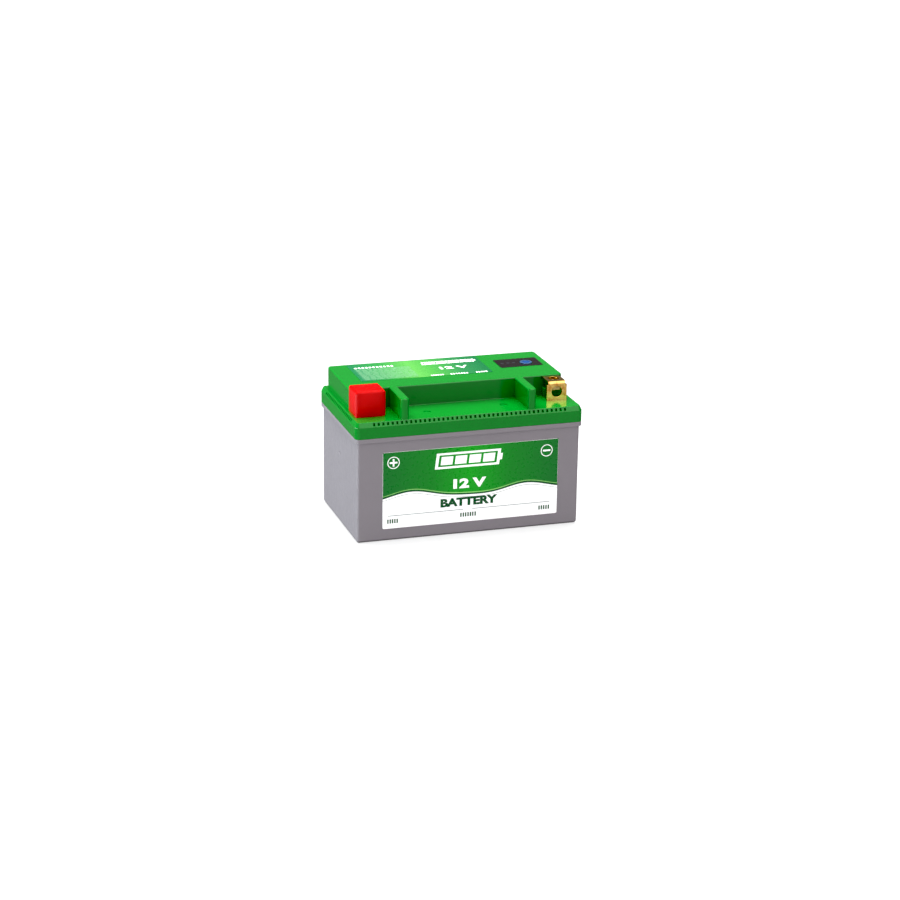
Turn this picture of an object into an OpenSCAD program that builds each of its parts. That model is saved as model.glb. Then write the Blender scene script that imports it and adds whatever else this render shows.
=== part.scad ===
// Motorcycle starter battery: four lithium iron phosphate cells in a 150 x 87 x 93 mm case.
// Millimetres. The origin is the centre of the base, +X runs along the length towards
// the negative terminal, -Y is the side with the terminals and the front label, +Z is up.

/* [Case] */
// Length over the lid flange
body_length = 150; // [149:0.5:152]
// Depth over the lid flange
body_depth = 87; // [86.5:0.5:88]
// Height of the seam between the case and the lid
seam_z = 69; // [69:0.25:70]
// How far the case wall stands back from the flange
case_inset = 1.4; // [1.2:0.1:1.6]
// Height of the lip band round the top of the case
lip_height = 3; // [2:0.5:5]
// Thickness of the case wall and floor
case_wall = 1.9; // [1.6:0.1:2]
// Radius of the upright corners
corner_r = 3; // [2.5:0.25:4]
// Radius of the bottom edges
base_edge_r = 2; // [1:0.25:2.5]

/* [Lid] */
// Height of the outer edge of the flange above the seam
flange_edge = 7.5; // [7:0.25:8]
// Height of the ledge above the seam
ledge_rise = 10.5; // [10:0.25:11]
// Height of the plateau and the ribs above the base
plateau_z = 93; // [92.5:0.25:94]
// How far the flange's bevel runs inwards
bevel_inset = 1.5; // [1:0.25:2]
// Gap from the flange's edge to the plateau at the left and right
plateau_side_gap = 4; // [3.5:0.25:5]
// Gap from the flange's edge to the plateau at the back
plateau_back_gap = 2.8; // [2.5:0.25:3.5]
// Distance of the plateau's front wall behind the middle
plateau_front = -14.5; // [-15:0.25:-14]
// Thickness of a rib
rib_width = 5.6; // [5:0.2:6]
// Centre of the left rib
left_rib_x = -42.5; // [-43:0.25:-42]
// Centre of the right rib
right_rib_x = 41.3; // [41:0.25:42]

/* [Pockets in the bevel] */
// Spacing of the pockets
pocket_pitch = 3; // [2.8:0.1:3]
// Width of a pocket
pocket_width = 1.4; // [1:0.1:1.8]
// Height of a pocket
pocket_height = 1.8; // [1:0.1:2]
// Pockets along the front and the back
long_pockets = 43; // [21:2:43]
// Pockets along the left and the right
side_pockets = 21; // [11:2:23]

/* [Terminals] */
// Distance of each terminal's centre from the middle
terminal_x = 63; // [62.5:0.05:63]
// Width of a terminal's front plate and foot
terminal_width = 13.6; // [13:0.1:13.6]
// Width of a terminal's top plate
terminal_top_width = 11.6; // [11:0.1:12]
// Front face of a terminal
terminal_front = -27; // [-27.5:0.25:-26.5]
// Top face of a terminal
terminal_top = 92.2; // [91.8:0.1:92.2]
// Thickness of the terminal sheet
terminal_sheet = 1.6; // [1.2:0.1:1.8]
// Diameter of the bolt holes, for an M6 bolt
bolt_hole_d = 7; // [6.4:0.1:7]
// Height of the front bolt hole's centre
front_hole_z = 85.1; // [84.5:0.1:85.5]
// Width across the flats of the square nut
nut_width = 10; // [9:0.25:10]
// Thickness of the square nut
nut_height = 5; // [4:0.25:5]
// Tapping diameter of the nut's thread
nut_thread_d = 5; // [4.5:0.1:5.2]

/* [Terminal cap] */
// Width of the cap
cap_width = 19.8; // [19.4:0.1:20]
// Depth of the cap
cap_depth = 17; // [16.5:0.1:17.4]
// Height of the cap above the ledge
cap_height = 16.8; // [16.5:0.1:18]
// Thickness of the cap's wall
cap_wall = 1.2; // [1:0.1:1.2]

/* [Status panel] */
// Width of the panel
panel_width = 29; // [28:0.5:31]
// Depth of the panel
panel_depth = 17.8; // [16:0.2:20]
// Diameter of the test button
button_d = 8; // [7:0.25:8]
// Travel of the test button
button_travel = 0.6; // [0.3:0.1:0.7]
// Number of charge windows
window_count = 3; // [2:1:3]

/* [Labels] */
// Width of the front label
front_label_width = 116.5; // [100:0.5:125]
// Height of the front label
front_label_height = 50.5; // [40:0.5:54]
// Width of the top label
top_label_width = 88; // [70:1:90]
// Depth of the top label
top_label_depth = 38; // [30:1:38]
// Thickness of the label film
label_thickness = 0.15; // [0.1:0.05:0.2]

/* [Cells] */
// Width of a pouch cell
cell_width = 104; // [98:1:104]
// Thickness of a pouch cell
cell_thickness = 9.6; // [8:0.1:9.6]
// Height of a pouch cell without its seal
cell_height = 56; // [50:0.5:56]
// Thickness of a compression pad between cells
pad_thickness = 1.6; // [1:0.1:1.6]
// Width of a cell tab
tab_width = 22; // [16:1:22]

/* [Hidden] */
$fn = 48;

// Small amount by which a cut passes the face it opens
overcut = 1;
// Clearance between pieces that fit into each other
fit_gap = 0.1;

// Case
case_length = body_length - 2 * case_inset;
case_depth = body_depth - 2 * case_inset;
inner_length = case_length - 2 * case_wall;
inner_depth = case_depth - 2 * case_wall;
inner_r = corner_r - 1;
case_front = -case_depth / 2;
gate_z = 46.7;
gate_r = 1.6;
gate_depth = 0.4;

// Lid
ledge_z = seam_z + ledge_rise;
lid_wall = 2.2;
shoulder_height = 1.6;
tongue_height = 2;
tongue_length = inner_length - 3 * fit_gap;
tongue_depth = inner_depth - 3 * fit_gap;
tongue_wall = 1.6;
flange_wall = 2.5;
ledge_under_z = ledge_z - lid_wall;
plateau_length = body_length - 2 * plateau_side_gap;
plateau_back = body_depth / 2 - plateau_back_gap;
plateau_depth = plateau_back - plateau_front;
plateau_mid_y = (plateau_back + plateau_front) / 2;
plateau_under_z = plateau_z - 2;
plateau_wall = 2.4;
plateau_side_wall = 2;
plateau_hollow_r = 1;
plateau_corner_r = 2.5;
plateau_edge_r = 1;
rib_front = -body_depth / 2 + 1.8;
rib_front_wall = 1.6;
rib_edge_r = 1.2;
rib_core = 2.4;
pocket_reach = 1.9;
pocket_z = ledge_z - 2.4;

// Terminals
terminal_bend_r = 2.2;
terminal_foot_z = seam_z - 1;
terminal_foot_length = 13;
terminal_foot_back = terminal_front + terminal_foot_length;
terminal_anchor = 1.1;
terminal_shoulder = 0.2;
terminal_back = plateau_front + terminal_anchor;
channel_front = terminal_front + terminal_sheet;
channel_mid_y = (channel_front + plateau_front) / 2;
bolt_hole_r = bolt_hole_d / 2;
nut_gap = 0.2;
nut_top_z = terminal_top - terminal_sheet - nut_gap;
nut_rest_z = nut_top_z - nut_height;
nut_rest_inset = 0.9;
nut_rest_width = terminal_width - 2 * nut_rest_inset;
nut_rest_depth = plateau_front - channel_front - nut_height - fit_gap;
nut_r = 0.5;
seal_margin = 2.2;
seal_height = 2;
seal_r = 1.5;

// Cap
cap_side_gap = 3.2;
cap_x = -body_length / 2 + cap_side_gap + cap_width / 2;
cap_back = plateau_front - fit_gap;
cap_r = 1.4;
cap_inner_right = cap_x + cap_width / 2 - cap_wall;
cap_rib = 1.2;
cap_rib_height = 12;

// Straps and busbars
strap_z = terminal_foot_z - 0.8;
strap_sheet = 0.8;
strap_side_gap = 2.7;
strap_end = inner_length / 2 - strap_side_gap;
strap_margin = 0.2;
strap_half = tab_width / 2 + strap_margin + 1;
strap_tab_margin = 3;
strap_rivet_margin = 2.2;
positive_strap_reach = 6.4;
negative_strap_gap = 4.6;
negative_strap_run = 8.6;
busbar_margin = 2.4;
rivet_r = 1.6;
rivet_head_r = 2.8;
rivet_head_height = 0.8;
rivet_tail_height = 1;
rivet_setback = 8;
rivet_y = terminal_front + rivet_setback;

// Cells
cell_count = 4;
cell_pitch = cell_thickness + pad_thickness;
bottom_foam_space = 3.5;
cell_base_z = case_wall + bottom_foam_space;
cell_top_z = cell_base_z + cell_height;
cell_r = 2;
seal_flange = 4;
seal_inset = 2;
seal_sheet = 0.8;
tab_x = 32;
tab_sheet = 0.4;
tab_top_z = strap_z + strap_sheet + 0.6;
stack_depth = cell_count * cell_thickness + (cell_count - 1) * pad_thickness;
pad_inset = 1;
pad_r = 0.4;
band_sheet = 0.25;
band_height = 10;
band_z = cell_base_z + 20;
tab_plate_height = 1.6;
tab_plate_margin = 2;
tab_plate_depth = 62;
tab_plate_z = strap_z - tab_plate_height;
foam_gap = 0.5;
foam_r = 1.5;
foam_top_z = tab_plate_z - 0.2;
end_foam_top_z = cell_top_z - 1.4;

// Labels
label_r = 1;
front_label_x = 1.2;
front_label_z = 33.5;
top_label_x = -15;
top_label_y = 19.5;

// Status panel and balance board
panel_x = 51.5;
panel_y = 16.6;
panel_sheet = 0.3;
button_x = 56.5;
button_y = 15.1;
button_rise = 1;
button_flange_r = button_d / 2 + 1.2;
button_flange_top_z = plateau_under_z - fit_gap;
button_flange_height = 1;
button_hole_gap = 0.15;
button_stem_r = 1.75;
window_pitch = 4;
window_x = 44.5;
window_r = 1.3;
guide_r = window_r - fit_gap;
board_length = 48;
board_depth = 42;
board_x = 42;
board_y = 13;
board_z = 82;
board_sheet = 1.6;
board_top_z = board_z + board_sheet;
board_r = 1.5;
board_hole_r = 1.3;
boss_r = 2.6;
boss_inset = 4;
screw_r = 1.2;
screw_length = 6;
screw_end_gap = 0.5;
screw_head_r = 2.4;
screw_head_height = 1.4;
recess_length = 2.8;
recess_width = 0.6;
recess_depth = 0.8;
controller_place = [41, 12];
controller_size = [8, 6, 1.6];
transistor_x = 50;
transistor_rows = [-1, 27];
transistor_size = [6.4, 5, 1.2];
resistor_count = 4;
resistor_pitch = 6;
resistor_x = 32;
resistor_y = 21;
resistor_size = [3.2, 5.6, 0.7];
led_size = 2;
led_height = 1;
led_r = 0.3;
guide_base_z = board_top_z + led_height + 0.2;
guide_bar_z = 88;
guide_bar_height = 1.5;
switch_size = 6;
switch_height = 3.5;
switch_r = 0.5;
plunger_r = 1.7;
plunger_base_z = board_top_z + 2.1;
plunger_top_z = board_top_z + 5;
socket_x = 24;
socket_y = 8;
socket_length = 6;
socket_width = 15;
socket_height = 5.8;
socket_wall = 1;
socket_mouth_x = socket_x - socket_length / 2;
plug_body = 5;
plug_side_rim = 0.6;
plug_under_rim = 0.4;
plug_top_gap = 0.6;
plug_z = board_z - socket_height / 2;
wire_r = 0.6;
wire_pitch = 2.5;
wire_z = plug_z;
wire_sides = 8;
wire_steps = 4;
wire_exit = 4;
wire_gap = 0.15;
wire_end_z = strap_z + strap_sheet + wire_r + wire_gap;
wire_start_x = socket_mouth_x - plug_body;

// Route of each balance wire after it has left the plug, down to its busbar
wire_routes = [
    [[6, 15, 78.5], [0, 20, 75], [-5, 24.5, 70.5], [-9, 25.7, wire_end_z], [-12, 25.7, wire_end_z]],
    [[8.5, 10.8, 77], [8.5, 11, 72], [13, 11, 69.4], [19, 11, wire_end_z], [24, 11, wire_end_z]],
    [[5, 7.5, 78.6], [-4, 5, 75.5], [-12, 2, 71.5], [-18, 0.5, 69.1], [-24, 0, wire_end_z]],
    [[8.5, 4.5, 77.5], [8, 0, 73.5], [10, -6, 70.5], [16, -10, 69.1], [24, -11, wire_end_z]],
    [[5, 1.5, 78.5], [-5, -5, 75.5], [-13, -11, 71.5], [-19, -14.5, 69.1], [-24, -15.5, wire_end_z]]
];

// ---- Shared shapes ----

// Centred rectangle with round corners
module rounded_rect(width, depth, r) {
    square([width - 2 * r, depth], center = true);
    square([width, depth - 2 * r], center = true);
    for (x = [-1, 1], y = [-1, 1])
        translate([x * (width / 2 - r), y * (depth / 2 - r)]) circle(r);
}

// Upright prism on z = 0 with round corners
module rounded_prism(width, depth, height, r) {
    linear_extrude(height) rounded_rect(width, depth, r);
}

// Ring of constant wall, with round corners
module rounded_ring(width, depth, height, r, wall) {
    difference() {
        rounded_prism(width, depth, height, r);
        translate([0, 0, -overcut])
            rounded_prism(width - 2 * wall, depth - 2 * wall, height + 2 * overcut, max(r - wall, 0.2));
    }
}

// A profile drawn in X and Z, extruded along Y over a centred depth
module along_y(depth) {
    translate([0, depth / 2, 0]) rotate([90, 0, 0]) linear_extrude(depth) children();
}

// A profile drawn in Y and Z, extruded along X over a centred width
module along_x(width) {
    translate([-width / 2, 0, 0]) rotate([90, 0, 90]) linear_extrude(width) children();
}

// Block on z = 0 with round upright corners and round edges at the top or the bottom
module rounded_block(width, depth, height, r, edge_r, edges_at_top) {
    profile_z = edges_at_top ? 0 : height;
    intersection() {
        rounded_prism(width, depth, height, r);
        along_y(depth) translate([0, profile_z]) rounded_rect(width, 2 * height, edge_r);
        along_x(width) translate([0, profile_z]) rounded_rect(depth, 2 * height, edge_r);
    }
}

// Cuboid given by its lowest and highest corners
module cuboid(low, high) {
    translate(low) cube(high - low);
}

// ---- Case and lid ----

module case() {
    color("silver") difference() {
        union() {
            rounded_block(case_length, case_depth, seam_z, corner_r, base_edge_r, false);
            translate([0, 0, seam_z - lip_height])
                rounded_prism(body_length, body_depth, lip_height, corner_r);
        }
        translate([0, 0, case_wall]) rounded_prism(inner_length, inner_depth, seam_z, inner_r);
        // Mark of the moulding gate on the left wall
        translate([-case_length / 2 - overcut, 0, gate_z]) rotate([0, 90, 0])
            cylinder(h = overcut + gate_depth, r = gate_r);
    }
}

// Cross-section of the flange, from the seam up to the ledge, with its bevel
module flange_profile(width) {
    half = width / 2;
    polygon([
        [-half, 0], [half, 0], [half, flange_edge], [half - bevel_inset, ledge_rise],
        [bevel_inset - half, ledge_rise], [-half, flange_edge]
    ]);
}

module flange_block() {
    translate([0, 0, seam_z]) intersection() {
        rounded_prism(body_length, body_depth, ledge_rise, corner_r);
        along_y(body_depth) flange_profile(body_length);
        along_x(body_length) flange_profile(body_depth);
    }
}

module plateau_block() {
    translate([0, plateau_mid_y, ledge_z - overcut])
        rounded_block(plateau_length, plateau_depth, plateau_z - ledge_z + overcut,
                      plateau_corner_r, plateau_edge_r, true);
}

module rib_block(x) {
    length = plateau_front - rib_front + plateau_wall;
    translate([x, rib_front + length / 2, ledge_z - overcut])
        rounded_block(rib_width, length, plateau_z - ledge_z + overcut, rib_edge_r, rib_edge_r, true);
}

// Row of cutters for the pockets along the flange's bevel, on the -Y side
module pocket_row(count, edge) {
    for (i = [0 : count - 1])
        translate([(i - (count - 1) / 2) * pocket_pitch - pocket_width / 2, -edge, pocket_z])
            cube([pocket_width, pocket_reach, pocket_height]);
}

module lid_pockets() {
    for (turn = [0, 180]) rotate([0, 0, turn]) pocket_row(long_pockets, body_depth / 2);
    for (turn = [90, 270]) rotate([0, 0, turn]) pocket_row(side_pockets, body_length / 2);
}

// Hollow under the lid, below the ledge, inside the plateau and up into the ribs
module lid_hollow() {
    translate([0, 0, seam_z - overcut])
        rounded_prism(tongue_length - 2 * tongue_wall, tongue_depth - 2 * tongue_wall,
                      shoulder_height + overcut, inner_r);
    translate([0, 0, seam_z + shoulder_height])
        rounded_prism(body_length - 2 * flange_wall, body_depth - 2 * flange_wall,
                      ledge_under_z - seam_z - shoulder_height, inner_r);
    translate([0, plateau_mid_y, ledge_under_z - overcut])
        rounded_prism(plateau_length - 2 * plateau_side_wall, plateau_depth - 2 * plateau_wall,
                      plateau_under_z - ledge_under_z + overcut, plateau_hollow_r);
    for (x = [left_rib_x, right_rib_x])
        cuboid([x - rib_core / 2, rib_front + rib_front_wall, ledge_under_z - overcut],
               [x + rib_core / 2, plateau_front + plateau_wall + overcut, plateau_under_z]);
}

// Places its children at the four corners of the balance board
module at_board_corners() {
    for (x = [-1, 1], y = [-1, 1])
        translate([board_x + x * (board_length / 2 - boss_inset),
                   board_y + y * (board_depth / 2 - boss_inset), 0]) children();
}

// Places its children at each charge window
module at_windows() {
    for (i = [0 : window_count - 1])
        translate([window_x + (i - (window_count - 1) / 2) * window_pitch, panel_y, 0]) children();
}

// Block in the terminal channel that the square nut lies on
module nut_rest(side) {
    translate([side * terminal_x - nut_rest_width / 2, plateau_front - nut_rest_depth, ledge_z - overcut])
        cube([nut_rest_width, nut_rest_depth + overcut, nut_rest_z - ledge_z + overcut]);
}

// Slot through the ledge for the terminal's leg, and the pocket that its top plate ends in
module terminal_slots(side) {
    half = terminal_width / 2 + fit_gap;
    x = side * terminal_x;
    cuboid([x - half, terminal_front - fit_gap, ledge_under_z - overcut],
           [x + half, channel_front + fit_gap, ledge_z + overcut]);
    cuboid([x - half, plateau_front - overcut, terminal_top - terminal_sheet - fit_gap],
           [x + half, terminal_back + fit_gap, terminal_top + fit_gap]);
}

module lid() {
    color("limegreen") difference() {
        union() {
            difference() {
                union() {
                    flange_block();
                    plateau_block();
                    for (x = [left_rib_x, right_rib_x]) rib_block(x);
                    for (side = [-1, 1]) nut_rest(side);
                }
                lid_hollow();
            }
            translate([0, 0, seam_z - tongue_height])
                rounded_ring(tongue_length, tongue_depth, tongue_height + shoulder_height / 2,
                             inner_r, tongue_wall);
            at_board_corners() translate([0, 0, board_top_z])
                cylinder(h = plateau_under_z - board_top_z + overcut, r = boss_r);
        }
        lid_pockets();
        for (side = [-1, 1]) terminal_slots(side);
        at_board_corners() translate([0, 0, board_top_z - overcut])
            cylinder(h = screw_length + overcut, r = screw_r + fit_gap / 2);
        at_windows() translate([0, 0, plateau_under_z - overcut])
            cylinder(h = plateau_z - plateau_under_z + 2 * overcut, r = window_r);
        translate([button_x, button_y, plateau_under_z - overcut])
            cylinder(h = plateau_z - plateau_under_z + 2 * overcut, r = button_d / 2 + button_hole_gap);
    }
}

// ---- Labels and status panel ----

module front_label() {
    color("forestgreen")
        translate([front_label_x, case_front - label_thickness / 2, front_label_z])
            along_y(label_thickness) rounded_rect(front_label_width, front_label_height, label_r);
}

module top_label() {
    color("mediumseagreen") translate([top_label_x, top_label_y, plateau_z])
        rounded_prism(top_label_width, top_label_depth, label_thickness, label_r);
}

module status_panel() {
    color("black") difference() {
        translate([panel_x, panel_y, plateau_z])
            rounded_prism(panel_width, panel_depth, panel_sheet, label_r);
        at_windows() translate([0, 0, plateau_z - overcut])
            cylinder(h = panel_sheet + 2 * overcut, r = window_r);
        translate([button_x, button_y, plateau_z - overcut])
            cylinder(h = panel_sheet + 2 * overcut, r = button_d / 2 + 2 * button_hole_gap);
    }
}

module test_button() {
    color("dodgerblue") translate([button_x, button_y, 0]) {
        translate([0, 0, button_flange_top_z - overcut])
            cylinder(h = plateau_z + button_rise - button_flange_top_z + overcut, r = button_d / 2);
        translate([0, 0, button_flange_top_z - button_flange_height])
            cylinder(h = button_flange_height, r = button_flange_r);
        translate([0, 0, plunger_top_z])
            cylinder(h = button_flange_top_z - plunger_top_z - button_flange_height / 2,
                     r = button_stem_r);
    }
}

module light_guide() {
    bar_length = window_count * window_pitch;
    color("lightcyan") {
        at_windows() translate([0, 0, guide_base_z])
            cylinder(h = plateau_z + panel_sheet - guide_base_z, r = guide_r);
        translate([window_x, panel_y, guide_bar_z])
            rounded_prism(bar_length, window_pitch, guide_bar_height, 1);
    }
}

// ---- Terminals ----

// Folded strip in Y and Z: top plate, front plate and foot, with a round bend at each fold
module terminal_profile() {
    inner_bend_r = terminal_bend_r - terminal_sheet;
    bend_y = terminal_front + terminal_bend_r;
    for (end = [[terminal_top - terminal_bend_r, 1, terminal_back],
                [terminal_foot_z + terminal_bend_r, -1, terminal_foot_back]]) {
        translate([bend_y, end[0]]) intersection() {
            difference() {
                circle(terminal_bend_r);
                circle(inner_bend_r);
            }
            translate([-terminal_bend_r, end[1] > 0 ? 0 : -terminal_bend_r])
                square(terminal_bend_r);
        }
        plate_z = end[1] > 0 ? terminal_top - terminal_sheet : terminal_foot_z;
        translate([bend_y, plate_z]) square([end[2] - bend_y, terminal_sheet]);
    }
    translate([terminal_front, terminal_foot_z + terminal_bend_r])
        square([terminal_sheet, terminal_top - terminal_foot_z - 2 * terminal_bend_r]);
}

module terminal(side) {
    shoulder_z = terminal_top - terminal_bend_r - terminal_shoulder;
    color("gold") translate([side * terminal_x, 0, 0]) difference() {
        along_x(terminal_width) terminal_profile();
        // The top plate is narrower than the front plate
        for (edge = [-1, 1])
            translate([edge * (terminal_top_width + terminal_width) / 2, 0, 0])
                cuboid([-terminal_width / 2, terminal_front - overcut, shoulder_z],
                       [terminal_width / 2, terminal_back + overcut, terminal_top + overcut]);
        translate([0, channel_mid_y, terminal_top - terminal_sheet - overcut])
            cylinder(h = terminal_sheet + 2 * overcut, r = bolt_hole_r);
        translate([0, channel_front + overcut, front_hole_z]) rotate([90, 0, 0])
            cylinder(h = terminal_sheet + 2 * overcut, r = bolt_hole_r);
        translate([0, rivet_y, terminal_foot_z - overcut])
            cylinder(h = terminal_sheet + 2 * overcut, r = rivet_r + fit_gap / 2);
    }
}

module square_nut(side) {
    color("goldenrod") translate([side * terminal_x, channel_mid_y, nut_rest_z]) difference() {
        rounded_prism(nut_width, nut_width, nut_height, nut_r);
        translate([0, 0, -overcut]) cylinder(h = nut_height + 2 * overcut, r = nut_thread_d / 2);
    }
}

// Rubber seal round the terminal's leg, under the ledge
module terminal_seal(side) {
    depth = terminal_sheet + 2 * seal_margin;
    color("dimgray")
        translate([side * terminal_x, terminal_front + terminal_sheet / 2, ledge_under_z - seal_height])
            rounded_ring(terminal_width + 2 * seal_margin, depth, seal_height, seal_r,
                         seal_margin - fit_gap);
}

module positive_terminal() { terminal(-1); }
module negative_terminal() { terminal(1); }
module positive_nut() { square_nut(-1); }
module negative_nut() { square_nut(1); }
module positive_seal() { terminal_seal(-1); }
module negative_seal() { terminal_seal(1); }

// Soft cover that pulls off the positive terminal, open at the bottom and at the back
module terminal_cap() {
    front = cap_back - cap_depth;
    color("red") translate([0, 0, ledge_z]) {
        difference() {
            translate([cap_x, cap_back - cap_depth / 2, 0])
                rounded_block(cap_width, cap_depth, cap_height, cap_r, cap_r, true);
            cuboid([cap_x - cap_width / 2 + cap_wall, front + cap_wall, -overcut],
                   [cap_inner_right, cap_back + overcut, cap_height - cap_wall]);
        }
        // Ribs that grip the side of the terminal
        for (y = [terminal_front + cap_rib, cap_back - 2 * cap_rib])
            cuboid([-terminal_x + terminal_width / 2 + fit_gap, y, cap_rib],
                   [cap_inner_right + cap_wall / 2, y + cap_rib, cap_rib + cap_rib_height]);
    }
}

// ---- Straps and busbars ----

// Slots for the tabs of the cells whose numbers are listed, at one end of the stack
module tab_slots(x, numbers, gap) {
    for (number = numbers)
        translate([x - tab_width / 2 - gap, cell_y(number) - tab_sheet / 2 - gap, tab_plate_z - overcut])
            cube([tab_width + 2 * gap, tab_sheet + 2 * gap, tab_plate_height + strap_sheet + 2 * overcut]);
}

module strap_plate(low, high) {
    cuboid([low[0], low[1], strap_z], [high[0], high[1], strap_z + strap_sheet]);
}

module rivet_hole(side) {
    translate([side * terminal_x, rivet_y, strap_z - overcut])
        cylinder(h = strap_sheet + 2 * overcut, r = rivet_r + fit_gap / 2);
}

module positive_strap() {
    color("lightgray") difference() {
        strap_plate([-strap_end, rivet_y - strap_rivet_margin],
                    [-tab_x + strap_half, rivet_y + positive_strap_reach]);
        tab_slots(-tab_x, [0], strap_margin);
        rivet_hole(-1);
    }
}

module negative_strap() {
    tab_y = cell_y(cell_count - 1);
    run_front = tab_y + negative_strap_gap;
    run_back = run_front + negative_strap_run;
    color("lightgray") difference() {
        union() {
            strap_plate([-tab_x - strap_half, tab_y - strap_tab_margin], [-tab_x + strap_half, run_back]);
            strap_plate([-tab_x - strap_half, run_front], [strap_end, run_back]);
            strap_plate([terminal_x - terminal_width / 2, rivet_y - strap_rivet_margin], [strap_end, run_back]);
        }
        tab_slots(-tab_x, [cell_count - 1], strap_margin);
        rivet_hole(1);
    }
}

// Links between neighbouring cells: two on the right and one on the left
module series_busbars() {
    for (link = [[1, 0], [-1, 1], [1, 2]]) {
        x = link[0] * tab_x;
        color("lightgray") difference() {
            strap_plate([x - strap_half, cell_y(link[1]) - busbar_margin],
                        [x + strap_half, cell_y(link[1] + 1) + busbar_margin]);
            tab_slots(x, [link[1], link[1] + 1], strap_margin);
        }
    }
}

module strap_rivets() {
    for (side = [-1, 1])
        color("silver") translate([side * terminal_x, rivet_y, 0]) {
            translate([0, 0, strap_z - rivet_head_height]) cylinder(h = rivet_head_height, r = rivet_head_r);
            translate([0, 0, strap_z]) cylinder(h = strap_sheet + terminal_sheet, r = rivet_r);
            translate([0, 0, terminal_foot_z + terminal_sheet])
                cylinder(h = rivet_tail_height, r = rivet_head_r);
        }
}

// ---- Cells and padding ----

// Middle of a cell, counted from 0 at the front
function cell_y(number) = (number - (cell_count - 1) / 2) * cell_pitch;

module cell(number) {
    color("lightsteelblue") translate([0, cell_y(number), 0]) {
        translate([0, 0, cell_base_z]) rounded_prism(cell_width, cell_thickness, cell_height, cell_r);
        translate([0, 0, cell_top_z - overcut])
            rounded_prism(cell_width - 2 * seal_inset, seal_sheet, seal_flange + overcut, seal_sheet / 4);
        for (side = [-1, 1])
            translate([side * tab_x - tab_width / 2, -tab_sheet / 2, cell_top_z])
                cube([tab_width, tab_sheet, tab_top_z - cell_top_z]);
    }
}

module cell_pad(number) {
    color("ivory") translate([0, (cell_y(number) + cell_y(number + 1)) / 2, cell_base_z + pad_inset])
        rounded_prism(cell_width - 2 * pad_inset, pad_thickness, cell_height - 2 * pad_inset, pad_r);
}

module cell_1() { cell(0); }
module cell_2() { cell(1); }
module cell_3() { cell(2); }
module cell_4() { cell(3); }
module cell_pad_1() { cell_pad(0); }
module cell_pad_2() { cell_pad(1); }
module cell_pad_3() { cell_pad(2); }

// Loop of tape that holds the stack together
module cell_band() {
    growth = 2 * (band_sheet + fit_gap / 2);
    color("khaki") translate([0, 0, band_z])
        rounded_ring(cell_width + growth, stack_depth + growth, band_height, cell_r + growth / 2, band_sheet);
}

// Insulating plate that the tabs pass through and the busbars lie on
module tab_plate() {
    color("whitesmoke") difference() {
        translate([0, 0, tab_plate_z])
            rounded_prism(cell_width + 2 * tab_plate_margin, tab_plate_depth, tab_plate_height, foam_r);
        for (x = [-tab_x, tab_x]) tab_slots(x, [0 : cell_count - 1], 2 * strap_margin);
    }
}

module bottom_foam() {
    color("dimgray") translate([0, 0, case_wall + fit_gap])
        rounded_prism(inner_length - 2 * foam_gap, inner_depth - 2 * foam_gap,
                      cell_base_z - case_wall - 2 * fit_gap, inner_r);
}

// Foam block that fills one long side of the case
module long_foam(side) {
    near = stack_depth / 2 + foam_gap;
    far = inner_depth / 2 - foam_gap;
    color("dimgray") translate([0, side * (near + far) / 2, cell_base_z])
        rounded_prism(inner_length - 2 * foam_gap, far - near, foam_top_z - cell_base_z, foam_r);
}

// Foam block that fills one end of the case
module end_foam(side) {
    near = cell_width / 2 + foam_gap;
    far = inner_length / 2 - foam_gap;
    color("dimgray") translate([side * (near + far) / 2, 0, cell_base_z])
        rounded_prism(far - near, stack_depth, end_foam_top_z - cell_base_z, foam_r);
}

module front_foam() { long_foam(-1); }
module rear_foam() { long_foam(1); }
module left_foam() { end_foam(-1); }
module right_foam() { end_foam(1); }

// ---- Balance board ----

module balance_board() {
    color("darkgreen") difference() {
        translate([board_x, board_y, board_z])
            rounded_prism(board_length, board_depth, board_sheet, board_r);
        at_board_corners() translate([0, 0, board_z - overcut])
            cylinder(h = board_sheet + 2 * overcut, r = board_hole_r);
    }
}

module board_screws() {
    color("silver") at_board_corners() {
        translate([0, 0, board_z - screw_head_height]) difference() {
            cylinder(h = screw_head_height, r = screw_head_r);
            // Cross recess
            for (turn = [0, 90]) rotate([0, 0, turn])
                translate([-recess_length / 2, -recess_width / 2, -overcut])
                    cube([recess_length, recess_width, overcut + recess_depth]);
        }
        translate([0, 0, board_z]) cylinder(h = board_sheet + screw_length - screw_end_gap, r = screw_r);
    }
}

// Part on the underside of the board
module chip(x, y, size) {
    translate([x - size[0] / 2, y - size[1] / 2, board_z - size[2]]) cube(size);
}

module board_components() {
    color("black") {
        chip(controller_place[0], controller_place[1], controller_size);
        for (y = transistor_rows) chip(transistor_x, y, transistor_size);
        for (i = [0 : resistor_count - 1])
            chip(resistor_x + resistor_pitch * i, resistor_y, resistor_size);
    }
}

module status_leds() {
    color("honeydew") at_windows() translate([0, 0, board_top_z])
        rounded_prism(led_size, led_size, led_height, led_r);
}

module tact_switch() {
    color("gray") translate([button_x, button_y, board_top_z]) difference() {
        rounded_prism(switch_size, switch_size, switch_height, switch_r);
        translate([0, 0, plunger_base_z - board_top_z - button_travel - fit_gap])
            cylinder(h = switch_height, r = plunger_r + fit_gap);
    }
}

module switch_plunger() {
    color("black") translate([button_x, button_y, plunger_base_z])
        cylinder(h = plunger_top_z - plunger_base_z, r = plunger_r);
}

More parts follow.
